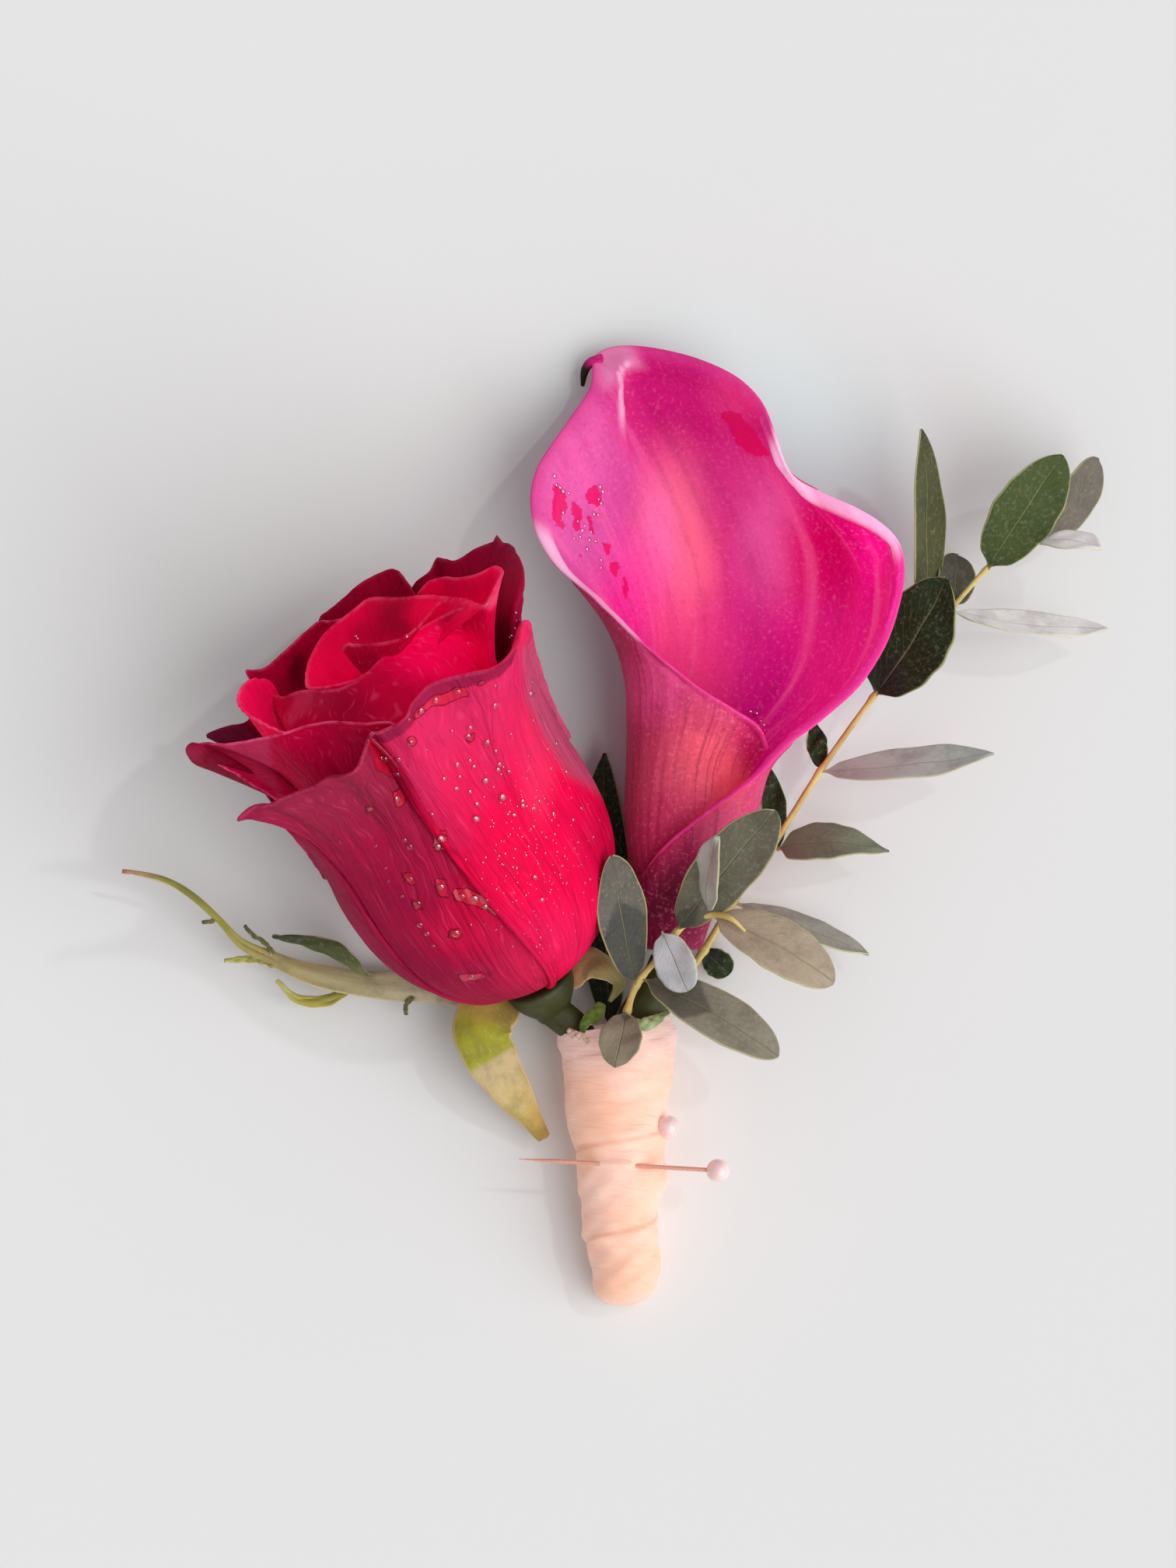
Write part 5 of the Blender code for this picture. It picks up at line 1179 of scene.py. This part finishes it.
def petal_blade(name, petal, outer, seed):
    """A petal that follows the bloom's body from its foot and flares out to its rim."""
    petal = {**(OUTER_USUAL if outer else INNER_USUAL), **petal}
    start, thickness, lip, highlight_start, rows = (
        (OUTER_START, OUTER_THICKNESS, OUTER_LIP, OUTER_RIM_HIGHLIGHT, 90) if outer
        else (INNER_START, INNER_THICKNESS, INNER_LIP, INNER_RIM_HIGHLIGHT, 64))
    columns = 130
    rim = through([on_rose(*p) for p in petal["rim"]], columns) - ROSE_BASE
    top = rim @ AXIS
    off = rim - top[:, None] * AXIS
    angle, reach = np.degrees(np.unwrap(np.arctan2(off @ RIGHT, off @ FRONT))), np.linalg.norm(off, axis=1)
    if angle[0] > angle[-1]:
        angle, top, reach = angle[::-1], top[::-1], reach[::-1]
    middle = (angle.min() + angle.max()) / 2
    u = np.linspace(0, 1, columns)[None, :]
    share = 1 - (1 - np.linspace(0, 1, rows)[:, None]) ** 1.6 + 0 * u
    top = top + (0.12 if outer else 0.06) * ripple(u, 0 * u, seed + 2, 6, 0)
    height = start + (top - start) * share
    inset = petal["inset"]
    at_top = np.maximum(body_radius(top) - inset, 1)
    power = np.where(reach < at_top, 2.0, 2.8)
    flare = np.clip((share - 0.3) / 0.7, 0, 1) ** power
    left, right, opens = petal["base"]
    base = left + (right - left) * u
    spread_out = base + (1 - base) * eased(opens * share)
    radius = np.maximum(body_radius(height) - inset, 1) + (reach - at_top) * flare
    turned_out = np.clip((share - lip) / (1 - lip), 0, 1) * 2.6
    roll = petal["roll"] * (0.85 + 0.25 * ripple(u, 0 * u, seed + 3, 3, 0))
    height = height + roll * np.sin(turned_out)
    radius = radius + roll * (1 - np.cos(turned_out))
    wave = 0.2 if outer else 0.16
    radius = radius + wave * eased((share - 0.15) / 0.7) * (1 - 0.5 * share) * ripple(u, share, seed, 4.5, 1.6)
    radius = radius + 0.06 * eased(share / 0.3) * ripple(u, share, seed + 1, 26, 2.2, 24)
    turn = np.radians(middle + (angle - middle) * spread_out) + 0 * share
    way = np.cos(turn)[..., None] * FRONT + np.sin(turn)[..., None] * RIGHT
    grid = ROSE_BASE + height[..., None] * AXIS + radius[..., None] * way
    grid = grid - facing(grid) * thickness / 2
    from_side = np.minimum(u, 1 - u)
    # How strong the painted highlight along the rim is, varying along it.
    edge = petal["edge"] * (0.8 + 0.35 * ripple(u, 0 * u, seed + 4, 5, 0))
    tone = colours_at(petal["tones"], u + 0 * share)
    dusk, dusk_start = petal["dusk"]
    # Among these marks are a painted sheen, painted shade under the lip, a painted highlight along the rim, and
    # painted sheen and shade on the dull strip.
    marks = {
        "dusk": dusk * eased((share - dusk_start + 0.2 * (0.5 - from_side)) / (1 - dusk_start)),
        "dusk_tone": np.tile(tint(*petal["dusk_tone"])[:3], (rows, columns, 1)),
        "band": petal["band"] * eased((share - 0.955) / 0.02) * eased((0.62 - u) / 0.2),
        "rim": np.clip(edge, 0, 1) * eased((share - highlight_start) / 0.012),
        "tone": painted(grid, tone, petal["spots"], petal["patches"]),
        "glow": petal["glow"] * eased((share - 0.3) / 0.5),
        "soaked": within(grid, ROSE_SOAKED) if outer else 0 * share - 9,
        "dulled": within(grid, ROSE_SHEEN_AND_SHADE) if outer else 0 * share - 9,
        "wet": painted(grid, np.zeros(3), (SPRAYED,))[..., 0] if outer else 0 * share,
    }
    return blade(name, grid, thickness, marks)


def lip_roll():
    """The left lip's edge, rolled over outwards."""
    count, across = 60, 9
    upper, lower = (through([spot(*p) for p in line], count) for line in LIP_ROLL)
    share = np.linspace(0, 1, across)
    arch = LIP_ROLL_ARCH * 4 * share * (1 - share)
    grid = lower[:, None] * (1 - share[:, None]) + upper[:, None] * share[:, None]
    grid = grid + arch[:, None] * np.array([0, 0, 1.0])
    if facing(grid)[count // 2, across // 2, 2] < 0:
        grid = grid[:, ::-1]
    zero = np.zeros((count, across))
    tone = painted(grid, np.array(tint(*LIP_ROLL_TONE)[:3]), LIP_ROLL_HIGHLIGHT)
    return blade("rose_left_lip_roll", grid, LIP_ROLL_THICKNESS, {
        "dusk": zero, "dusk_tone": tone, "band": zero, "rim": zero, "tone": tone, "glow": zero + 0.1,
        "soaked": zero - 9, "dulled": zero - 9, "wet": zero,
    })


def make_rose():
    look = petal_finish("Rose petal")
    made = {}
    for outer, petals in ((True, OUTER_PETALS), (False, INNER_PETALS)):
        for name, petal in petals.items():
            sheet = petal_blade("rose_" + name, petal, outer, SEEDS["petals"] + 5 * len(made))
            made[name] = placed(sheet, look, "rose_bloom")
    made["lip_roll"] = placed(lip_roll(), look, "rose_bloom")
    core = turned("rose_core", CORE_OUTLINE, in_rose)
    placed(core, core_finish(), "rose_bloom")
    return made


# Water
class Growth:
    """A Geometry Nodes tree with named sizes that turns a host into a plain mesh of what grows on it."""

    def __init__(self, name, sizes):
        self.tree = bpy.data.node_groups.new(name, "GeometryNodeTree")
        face = self.tree.interface
        face.new_socket(name="Host", in_out="INPUT", socket_type="NodeSocketGeometry")
        face.new_socket(name="Grown", in_out="OUTPUT", socket_type="NodeSocketGeometry")
        self.sizes = [(face.new_socket(name=label, in_out="INPUT", socket_type="NodeSocketFloat").identifier, value)
                      for label, value in sizes.items()]
        given = self.tree.nodes.new("NodeGroupInput")
        self.host = given.outputs["Host"]
        self.size = {label: given.outputs[label] for label in sizes}

    def node(self, kind, settings=None, inputs=None, out=0):
        made = self.tree.nodes.new(kind)
        for key, value in (settings or {}).items():
            setattr(made, key, value)
        for key, value in (inputs or {}).items():
            if isinstance(value, bpy.types.NodeSocket):
                self.tree.links.new(value, made.inputs[key])
            else:
                made.inputs[key].default_value = value
        return made.outputs[out]

    def mark(self, name):
        return self.node("GeometryNodeInputNamedAttribute", {"data_type": "FLOAT"}, {"Name": name}, "Attribute")

    def result(self, host, name, instances, finish):
        """The instances made real on a host, as a new object."""
        real = self.node("GeometryNodeRealizeInstances", inputs={0: instances})
        smooth = self.node("GeometryNodeSetShadeSmooth", inputs={0: real})
        dressed = self.node("GeometryNodeSetMaterial", inputs={0: smooth, "Material": finish})
        self.tree.links.new(dressed, self.tree.nodes.new("NodeGroupOutput").inputs[0])
        modifier = host.modifiers.new(name, "NODES")
        modifier.node_group = self.tree
        for identifier, value in self.sizes:
            modifier[identifier] = value
        seen = host.evaluated_get(bpy.context.evaluated_depsgraph_get())
        mesh = bpy.data.meshes.new_from_object(seen)
        host.modifiers.remove(modifier)
        made = bpy.data.objects.new(name, mesh)
        bpy.context.scene.collection.objects.link(made)
        return made


def spray(host, name, mark, per_mm2, smallest, largest, seed, finish):
    """Drops of water strewn over a host where its mark is high."""
    grow = Growth(name, {"Drops per mm2": per_mm2, "Smallest mm": smallest, "Largest mm": largest, "Flatness": 0.5})
    density = grow.node("ShaderNodeMath", {"operation": "MULTIPLY"}, {0: grow.size["Drops per mm2"], 1: 1e6})
    density = grow.node("ShaderNodeMath", {"operation": "MULTIPLY"}, {0: density, 1: grow.mark(mark)})
    strewn = grow.tree.nodes.new("GeometryNodeDistributePointsOnFaces")
    grow.tree.links.new(grow.host, strewn.inputs["Mesh"])
    grow.tree.links.new(density, strewn.inputs["Density"])
    strewn.inputs["Seed"].default_value = seed
    width = grow.node("FunctionNodeRandomValue", {"data_type": "FLOAT"},
                      {2: grow.size["Smallest mm"], 3: grow.size["Largest mm"], "Seed": seed + 1}, 1)
    radius = grow.node("ShaderNodeMath", {"operation": "MULTIPLY"}, {0: width, 1: 0.5 * MM})
    thick = grow.node("ShaderNodeMath", {"operation": "MULTIPLY"}, {0: radius, 1: grow.size["Flatness"]})
    scale = grow.node("ShaderNodeCombineXYZ", inputs={0: radius, 1: radius, 2: thick})
    ball = grow.node("GeometryNodeMeshUVSphere", inputs={"Segments": 8, "Rings": 6, "Radius": 1.0})
    instances = grow.node("GeometryNodeInstanceOnPoints", inputs={
        "Points": strewn.outputs["Points"], "Instance": ball, "Rotation": strewn.outputs["Rotation"], "Scale": scale,
    })
    return grow.result(host, name, instances, finish)


def beads(name, hosts, drops, sides=14, rings=9):
    """Single drops of water where hosts are seen at pixels."""
    points, faces = [], []
    for host in hosts:
        mesh = host.data
        corners = np.zeros(len(mesh.vertices) * 3)
        mesh.vertices.foreach_get("co", corners)
        faces += [[i + len(points) for i in polygon.vertices] for polygon in mesh.polygons]
        points += (corners.reshape(-1, 3) / MM).tolist()
    ground = BVHTree.FromPolygons(points, faces)
    lean = np.linspace(0, np.pi, rings + 2)[1:-1]
    turn = np.linspace(0, 2 * np.pi, sides, endpoint=False)
    ring = np.array([[(np.sin(a) * np.cos(t), np.sin(a) * np.sin(t), np.cos(a)) for t in turn] for a in lean])
    ball = np.vstack([ring.reshape(-1, 3), (0, 0, 1), (0, 0, -1)])
    skin = capped_faces(rings, sides, flip=True)
    made, shell = [], []
    for i, (across, down, width) in enumerate(drops):
        way = spot(across, down, 0.0) - np.array(EYE)
        hit, normal, _, _ = ground.ray_cast(Vector(EYE), Vector(unit(way)))
        if hit is None:
            continue
        out = np.array(normal) if np.array(normal)[2] > 0 else -np.array(normal)
        first = unit(np.cross(out, (0.3, 1.0, 0.1)))
        second = np.cross(out, first)
        draw = np.random.default_rng(SEEDS["drops"] + i)
        half = width / 2 * np.array([draw.uniform(*limits) for limits in DROP_SHAPES])
        ways = np.stack([first, second, out])
        shell += [[q + len(made) * len(ball) for q in quad] for quad in skin]
        made.append(np.array(hit) + out * half[2] * DROP_RISE + (ball * half) @ ways)
    drops_mesh = plain_mesh(name, np.vstack(made), shell)
    face_out(drops_mesh.data)
    return drops_mesh


def make_water(petals, spathe):
    """Single drops on the rose and the calla, and fine spray on the front petals."""
    water = water_finish()
    placed(beads("rose_drops", list(petals.values()), ROSE_DROPS), water, None)
    placed(beads("calla_drops", [spathe], [(x, y, CALLA_DROP_WIDTH * w) for x, y, w in CALLA_DROPS]), water, None)
    for i, name in enumerate(("front_right", "front_left")):
        strewn = spray(petals[name], f"{name}_spray", "wet", SPRAY_DENSITY, *SPRAY_WIDTHS, SEEDS["spray"] + i, water)
        placed(strewn, water, None)


# The green of the rose
def across_blade(along, lean):
    """The way across a blade that runs along directions and leans about them."""
    flat = unit(np.cross((0, 0, 1.0), along))
    up = unit(np.cross(along, flat))
    turn = math.radians(lean)
    return flat * math.cos(turn) + up * math.sin(turn)


def sepal_blade(name, sepal, seed, rows=90, columns=15):
    """A narrow channelled blade along a mid-line."""
    sepal = {**SEPAL_USUAL, **sepal}
    middle = through([spot(*p) for p in sepal["line"]], rows)
    widths = spread(through([(i, w) for i, w in enumerate(sepal["widths"])], 200)[:, 1], rows)
    share = np.linspace(0, 1, rows)
    widths = np.maximum(widths * (1 + 0.05 * ripple(share, 0 * share, seed, 7, 0)), 0.3)
    along = unit(np.gradient(middle, axis=0))
    side = across_blade(along, sepal["lean"])
    up = unit(np.cross(side, along))
    across = np.linspace(1, -1, columns)
    half = widths[:, None] / 2
    rise = half * sepal["channel"] * 1.4 * across[None, :] ** 2
    grid = middle[:, None] + side[:, None] * (half * across)[..., None] + up[:, None] * rise[..., None]
    grid = grid + up[:, None] * (0.12 * ripple(across[None, :] * 0.5, share[:, None], seed + 1, 2, 5))[..., None]
    tone = np.repeat(colours_at(sepal["colours"], share)[:, None], columns, axis=1)
    return blade(name, grid, SEPAL_THICKNESS, {"tone": tone})


def make_rose_green():
    green = stalk_finish("Rose stalk", (64, 66, 28), (50, 54, 22), (32, 36, 14))
    hip = turned("rose_hip", HIP_OUTLINE, in_rose, 40, 40)
    placed(hip, green, "rose_stem")
    stem = tube("rose_stalk", [spot(*p) for p in ROSE_STEM], ROSE_STEM_RADII, 24)
    placed(stem, green, "rose_stem")
    finish = sepal_finish()
    for i, (name, sepal) in enumerate(SEPALS.items()):
        placed(sepal_blade("sepal_" + name, sepal, SEEDS["sepals"] + 2 * i), finish, "rose_stem")


# The calla
def calla_ring(climb):
    """The calla's tube at climbs above its foot: its middle, half its width and half its height."""
    climbs, middles, halves, shares = through(CALLA_TUBE, 300).T
    middle, half, share = (np.interp(climb, climbs, column) for column in (middles, halves, shares))
    foot_low = CALLA_FOOT_HEIGHT - CALLA_TUBE[0][2]
    low = foot_low + (CALLA_BACK_HEIGHT - foot_low) * eased(climb / TUBE_RISE)
    tall = half * share
    height = low + tall
    scale = PIXEL * (EYE[2] - height) / (EYE[2] - SCALE_HEIGHT)
    x = EYE[0] + (middle - PIXEL_UNDER_EYE[0]) * scale
    y = EYE[1] + (PIXEL_UNDER_EYE[1] - CALLA_FOOT[1] + climb / PIXEL) * scale
    return np.stack([x, y, height], -1), half, tall


def calla_point(climb, angle, slack):
    """Points round the calla's tube. Slack lifts the outer of two layers off the inner."""
    centre, half, tall = calla_ring(climb)
    turn = np.radians(angle)
    out = np.stack([np.sin(turn) * (half + slack), 0 * half, np.cos(turn) * (tall + slack)], -1)
    return centre + out


def make_calla():
    """The calla, whose sheet is returned: it follows the tube and flares out to its margin."""
    rows, columns = 110, 300
    margin = through([(*spot(across, down, height), angle) for across, down, height, angle in CALLA_MARGIN], columns)
    foot = spot(*CALLA_FOOT, 0)
    angle = margin[:, 3]
    top = margin[:, 1] - foot[1]
    u = np.linspace(0, 1, columns)
    slack = CALLA_LAYER_GAP * (u - 0.5)
    share = 1 - (1 - np.linspace(0, 1, rows)) ** 1.2
    miss = margin[:, :3] - calla_point(top, angle, slack)
    seen = seen_at(margin[:, :3])

    def beside(pixel):
        """The share along the margin that lies nearest a pixel."""
        return u[np.argmin(np.linalg.norm(seen - pixel, axis=1))]

    hollow = np.exp(-(((u - beside(CALLA_NOTCH)) / NOTCH_SHARE) ** 2))
    power = CALLA_FLARE_POWER - NOTCH_OPENS * hollow
    grid = np.zeros((rows, columns, 3))
    for r, step in enumerate(share):
        pull = max(1e-6, (step - CALLA_FLARE_START) / (1 - CALLA_FLARE_START)) ** power
        grid[r] = calla_point(top * step, angle, slack) + miss * pull[:, None]
    pixels = seen_at(grid)
    # Seen from above, nothing of the sheet stands out past its own right margin.
    right_side = [p for p in CALLA_MARGIN if 826 <= p[0] and p[3] < -180 and p[1] < 960]
    limit = np.interp(pixels[..., 1], [p[1] for p in right_side], [p[0] for p in right_side]) - 3
    past = np.maximum(0, pixels[..., 0] - limit) * (angle < -180) * (share < 0.985)[:, None]
    grid[..., 0] -= past * PIXEL
    way = facing(grid)
    s, w = np.meshgrid(share, u, indexing="ij")
    broad = CALLA_WAVES * eased((s - 0.3) / 0.5) * ripple(w, s, SEEDS["calla"], 7, 2.0)
    shape = broad + CALLA_VEINS * ripple(w, s, SEEDS["calla"] + 1, 60, 1.5, 24)
    lip = np.clip((s - 0.95) / 0.05, 0, 1)
    pixels = seen_at(grid)
    crease_x = np.interp(pixels[..., 1], [p[1] for p in CALLA_CREASE], [p[0] for p in CALLA_CREASE])
    from_crease = (pixels[..., 0] - crease_x) * PIXEL
    fade = eased((640 - pixels[..., 1]) / 110) * eased((pixels[..., 1] - 452) / 14) * (s > 0.5)
    slope, drop = CREASE_WIDTHS
    left = np.exp(-((np.minimum(from_crease, 0) / slope) ** 2)) * np.exp(-((np.maximum(from_crease, 0) / drop) ** 2))
    ridge = CREASE_HEIGHT * fade * left
    grid = grid + way * (shape + ridge + CALLA_LIP * lip * (1 - lip) * 4 - CALLA_EDGE * lip**2)[..., None]
    shine = 0 * w
    for first, last, strength in CALLA_SHINES:
        a, b = sorted((beside(first), beside(last)))
        shine = np.maximum(shine, strength * eased((w - a + 0.012) / 0.012) * eased((b + 0.012 - w) / 0.012))
    # Painted highlights on the crease and on the lit facet at the tip.
    crease_shine = np.exp(-(((from_crease + 0.35) / 0.42) ** 2)) * eased((575 - pixels[..., 1]) / 50) * fade
    lit_tip_facet = within(grid, (((758, 462), (811, 462), (793, 500), (772, 506)),))
    right = eased((pixels[..., 0] - 880) / 160)
    marks = {
        "rim": 0.55 * eased((s - 0.976) / 0.02),
        "shine": np.maximum(np.maximum(shine * eased((s - 0.955) / 0.02), 0.75 * crease_shine),
                            0.3 * eased(lit_tip_facet / 3.0 + 0.25)),
        "tip": 0 * s,
        "face": painted(grid, np.array(tint(*CALLA_FACE)[:3]), CALLA_FACE_GLOWS),
        "back": painted(grid, np.array(tint(*CALLA_BACK)[:3]), CALLA_BACK_GLOWS),
        "soaked": within(grid, CALLA_SOAKED),
        "glow": 0.05 + 0.3 * right * eased((s - 0.2) / 0.3),
    }
    finish = calla_finish()
    spathe = placed(blade("calla_spathe_sheet", grid, CALLA_THICKNESS, marks), finish, "calla_spathe")
    make_calla_rest(finish)
    return spathe


def make_calla_rest(finish):
    """The calla's tail, its stalk and the spadix in its throat."""
    count = 40
    tail = tube("calla_tail", [spot(*p[:3]) for p in CALLA_TAIL], [p[3] for p in CALLA_TAIL], 14, count,
                {"tip": eased((np.linspace(0, 1, count) - 0.25) / 0.3), "soaked": np.full(count, -9.0),
                 "face": np.tile(tint(*CALLA_FACE)[:3], (count, 1)),
                 "back": np.tile(tint(*CALLA_BACK)[:3], (count, 1))})
    placed(tail, finish, "calla_spathe")
    stalk = stalk_finish("Calla stalk", (70, 78, 36), (58, 66, 30), (36, 44, 22))
    placed(tube("calla_stalk", [spot(*p) for p in CALLA_STEM], CALLA_STEM_RADII, 24), stalk, "calla_stem")
    neck = [spot(*CALLA_STEM[0]), (spot(*CALLA_STEM[0]) + spot(*SPADIX_FOOT)) / 2, spot(*SPADIX_FOOT)]
    placed(tube("calla_neck", neck, (NECK_RADIUS,), 16, 12), stalk, "calla_stem")
    foot, tip = spot(*SPADIX_FOOT), spot(*SPADIX_TIP)
    start = foot + unit(tip - foot) * 0.3
    route = [start + (tip - start) * share for share in np.linspace(0, 1, 5)]
    placed(tube("spadix_finger", route, SPADIX_RADII, 24, 40), spadix_finish(), "calla_spadix")


# The eucalyptus
def leaf_blade(name, root, tip, width, lean, arch, bow, shape, colour, shaded, seed):
    """A leaf with its short stalk, folded a little along its mid-rib."""
    rows, columns = 48, 17
    start, end = spot(*root), spot(*tip)
    along = unit(end - start)
    side = across_blade(along, lean)
    up = unit(np.cross(side, along))
    up = up if up[2] > 0 else -up
    share = np.linspace(0, 1, rows)
    bend = np.array([0, 0, arch]) + unit(np.cross((0, 0, 1.0), along)) * bow
    root_power, tip_power = LEAF_SHAPES[shape]
    widest = root_power / (root_power + tip_power)
    full = share**root_power * (1 - share) ** tip_power / (widest**root_power * (1 - widest) ** tip_power)
    petiole = eased((share - 0.02) / 0.1)
    full = full * (0.12 + 0.88 * petiole) * (1 + 0.02 * ripple(share, 0 * share, seed, 6, 0))
    half = width / 2 * np.maximum(full, 0.05)
    middle = start + np.outer(share, end - start) + np.outer(4 * share * (1 - share), bend)
    across = np.linspace(1, -1, columns)
    rise = half[:, None] * LEAF_FOLD * (0.35 * np.abs(across) + 0.65 * across**2)[None, :]
    rise = rise + 0.16 * ripple(across[None, :] * 0.4, share[:, None], seed, 1.5, 3)
    grid = middle[:, None] + side * (half[:, None] * across)[..., None] + up * rise[..., None]
    tone = np.tile(tint(*colour)[:3], (rows, columns, 1))
    if np.cross(side, along)[2] > 0:
        grid = grid[:, ::-1]
    glow = np.full((rows, columns), 0.14 * eased((-lean - 40) / 16))
    marks = {"tone": tone, "shaded": np.full((rows, columns), shaded), "glow": glow}
    return blade(name, grid, LEAF_THICKNESS, marks, 0.6)


def make_sprig(node, stem, radii, leaves, finish, twig, seed):
    """A twig, thicker where its leaves start, and the leaves as one piece."""
    rings = 140
    route = through([spot(*p) for p in stem], rings)
    swell = np.ones(rings)
    for leaf in leaves:
        near = np.linalg.norm(route - spot(*leaf[0]), axis=1)
        swell = np.maximum(swell, 1 + 0.4 * np.exp(-((near / 0.8) ** 2)))
    stalk = tube(node + "_twig", route, radii, 14, rings, swell=swell)
    placed(stalk, twig, node)
    blades = [leaf_blade(f"{node}_blade_{i}", *leaf, seed + i) for i, leaf in enumerate(leaves)]
    placed(fused(node + "_leaves", blades), finish, node)


# The wrap
def wrap_ring(row, left, right, deep, inset, turn, proud):
    """A ring of the wrap, inset from its outline or proud of it, slanting near the mouth."""
    height = deep / 2 - WRAP_SINK
    middle = spot((left + right) / 2, row, height)
    half = (right - left) / 2 * PIXEL - inset + proud
    tall = deep / 2 - inset + proud
    slant = MOUTH_SLANT * max(0.0, 1 - max(0.0, row - WRAP_ROWS[0][0]) / SLANT_FADE)
    across = np.sin(turn) * half
    return middle + np.column_stack([across, across * slant, np.cos(turn) * tall])


def make_wrap():
    """The tape, from the mouth's floor over its lip and down to the closed foot."""
    sides = 144
    turn = np.linspace(np.pi, 3 * np.pi, sides, endpoint=False)
    first, final = WRAP_ROWS[0], WRAP_ROWS[-1]
    (pin_x, pin_y, _), (head_x, head_y, _) = PINS["a"]
    rings, top, edge, hem, v = [], [], [], [], []

    def add(ring, marks):
        rings.append(ring)
        for store, value in zip((top, edge, hem, v), marks):
            store.append(value + 0 * turn)

    for inset, row in MOUTH_RINGS:
        add(wrap_ring(row, *first[1:], inset, turn, 0.0), (1.0, 0.0, 0.3, 0.0))
    for row, left, right, deep in through(WRAP_ROWS, 190):
        climb = (first[0] - row) * PIXEL
        winding = climb / TAPE_PITCH - (turn / (2 * np.pi) - TAPE_LEAN * np.sin(turn)) + TAPE_START
        winding = winding - np.floor(winding)
        layer = TAPE_STEP * winding - TAPE_STEP * eased((winding - 0.93) / 0.07)
        fade = eased((row - first[0]) / 25) * eased((final[0] - row) / 30)
        ruck = TAPE_RUCKS * ripple(turn / (2 * np.pi), 0 * turn + climb / 40, SEEDS["tape"], 9, 12, 20)
        line = np.exp(-(((winding - 0.965) / 0.03) ** 2)) * eased((row - 1380) / 50) * fade
        low = row - first[0]
        ring = wrap_ring(row, left, right, deep, TAPE_INSET, turn, layer * fade * 0.8 + ruck * fade)
        x, y = seen_at(ring).T
        off = (y - pin_y - (x - pin_x) * (head_y - pin_y) / (head_x - pin_x)) * PIXEL
        over = eased((x - COVERED_PIN[0]) / 8) * eased((COVERED_PIN[1] - x) / 8)
        ring[:, 2] += (PIN_HUMP * over - PIN_DIP) * np.exp(-((off / 0.55) ** 2)) * (ring[:, 2] > 8)
        add(ring, (eased((1400 - row) / 70), line, np.exp(-low / 4.0), low / 360))
    ends = np.vstack([rings[0].mean(0), rings[-1].mean(0) - (0, 0.3, 0)])
    rows = len(rings)
    points = np.vstack([np.vstack(rings), ends])
    uv = np.column_stack([np.tile(turn / (2 * np.pi), rows), np.concatenate(v)])
    marks = {"top": top, "edge": edge, "hem": hem}
    marks = {key: np.append(np.concatenate(value), (0.0, 0.0)) for key, value in marks.items()}
    made = plain_mesh("tape", points, capped_faces(rows, sides), np.vstack([uv, (0.5, 0), (0.5, 1)]), marks)
    face_out(made.data)
    placed(made, tape_finish(), "stem_wrap")


def make_pins():
    metal, pearl_look = pin_finish(), pearl_finish()
    for letter, (tip, head) in PINS.items():
        point, ball = spot(*tip), spot(*head)
        along = unit(ball - point)
        end = ball - along * NEEDLE_STOP
        shaft = tube(f"pin_{letter}_needle", [point, point + (end - point) * 0.12, end], NEEDLE_RADII, 16, 60)
        placed(shaft, metal, f"pin_{letter}_shaft")
        heights = [(PEARL_RADIUS * math.sin(a), PEARL_RADIUS * math.cos(a)) for a in np.linspace(0, math.pi, 13)]
        made = turned(f"pin_{letter}_ball", heights,
                      lambda t, h, r: ball + np.stack([r * np.cos(t), r * np.sin(t), h], -1), 48, 32)
        placed(made, pearl_look, f"pin_{letter}_pearl")


def make_stage():
    """The floor, the lamps and the camera that looks straight down."""
    bpy.ops.mesh.primitive_plane_add(size=FLOOR_WIDTH)
    floor = bpy.context.object
    floor.name = "floor"
    floor.data.materials.append(floor_finish())
    world = bpy.data.worlds.new("Studio")
    world.use_nodes = True
    sky = world.node_tree.nodes["Background"].inputs
    sky["Color"].default_value = (1, 1, 1, 1)
    sky["Strength"].default_value = SKY
    bpy.context.scene.world = world
    for name, way, softness, power in LAMPS:
        lamp = bpy.data.lights.new(name, "SUN")
        lamp.energy = power
        lamp.angle = math.radians(softness)
        made = bpy.data.objects.new(name, lamp)
        made.rotation_euler = (-Vector(way)).to_track_quat("-Z", "Y").to_euler()
        bpy.context.scene.collection.objects.link(made)
    lens = bpy.data.cameras.new("camera")
    away = (EYE[2] - SCALE_HEIGHT) * MM
    lens.lens = lens.sensor_width * away / (PICTURE_HEIGHT * PIXEL * MM)
    lens.clip_start = 0.01
    eye = bpy.data.objects.new("camera", lens)
    eye.location = [c * MM for c in EYE]
    bpy.context.scene.collection.objects.link(eye)
    bpy.context.scene.camera = eye
    bpy.context.scene.view_settings.view_transform = "Standard"


make_stage()
petals = make_rose()
make_rose_green()
spathe = make_calla()
make_water(petals, spathe)
leaf_look = leaf_finish()
twig_look = stalk_finish("Twig", (222, 200, 122), (204, 174, 98), (164, 132, 70))
make_sprig("eucalyptus_long", LONG_STEM, LONG_STEM_RADII, LONG_LEAVES, leaf_look, twig_look, SEEDS["long"])
make_sprig("eucalyptus_short", SHORT_STEM, SHORT_STEM_RADII, SHORT_LEAVES, leaf_look,
           twig_look, SEEDS["short"])
placed(leaf_blade("backing_blade", *BACKING_LEAF, SEEDS["backing"]), leaf_look, "backing_leaf")
make_wrap()
make_pins()
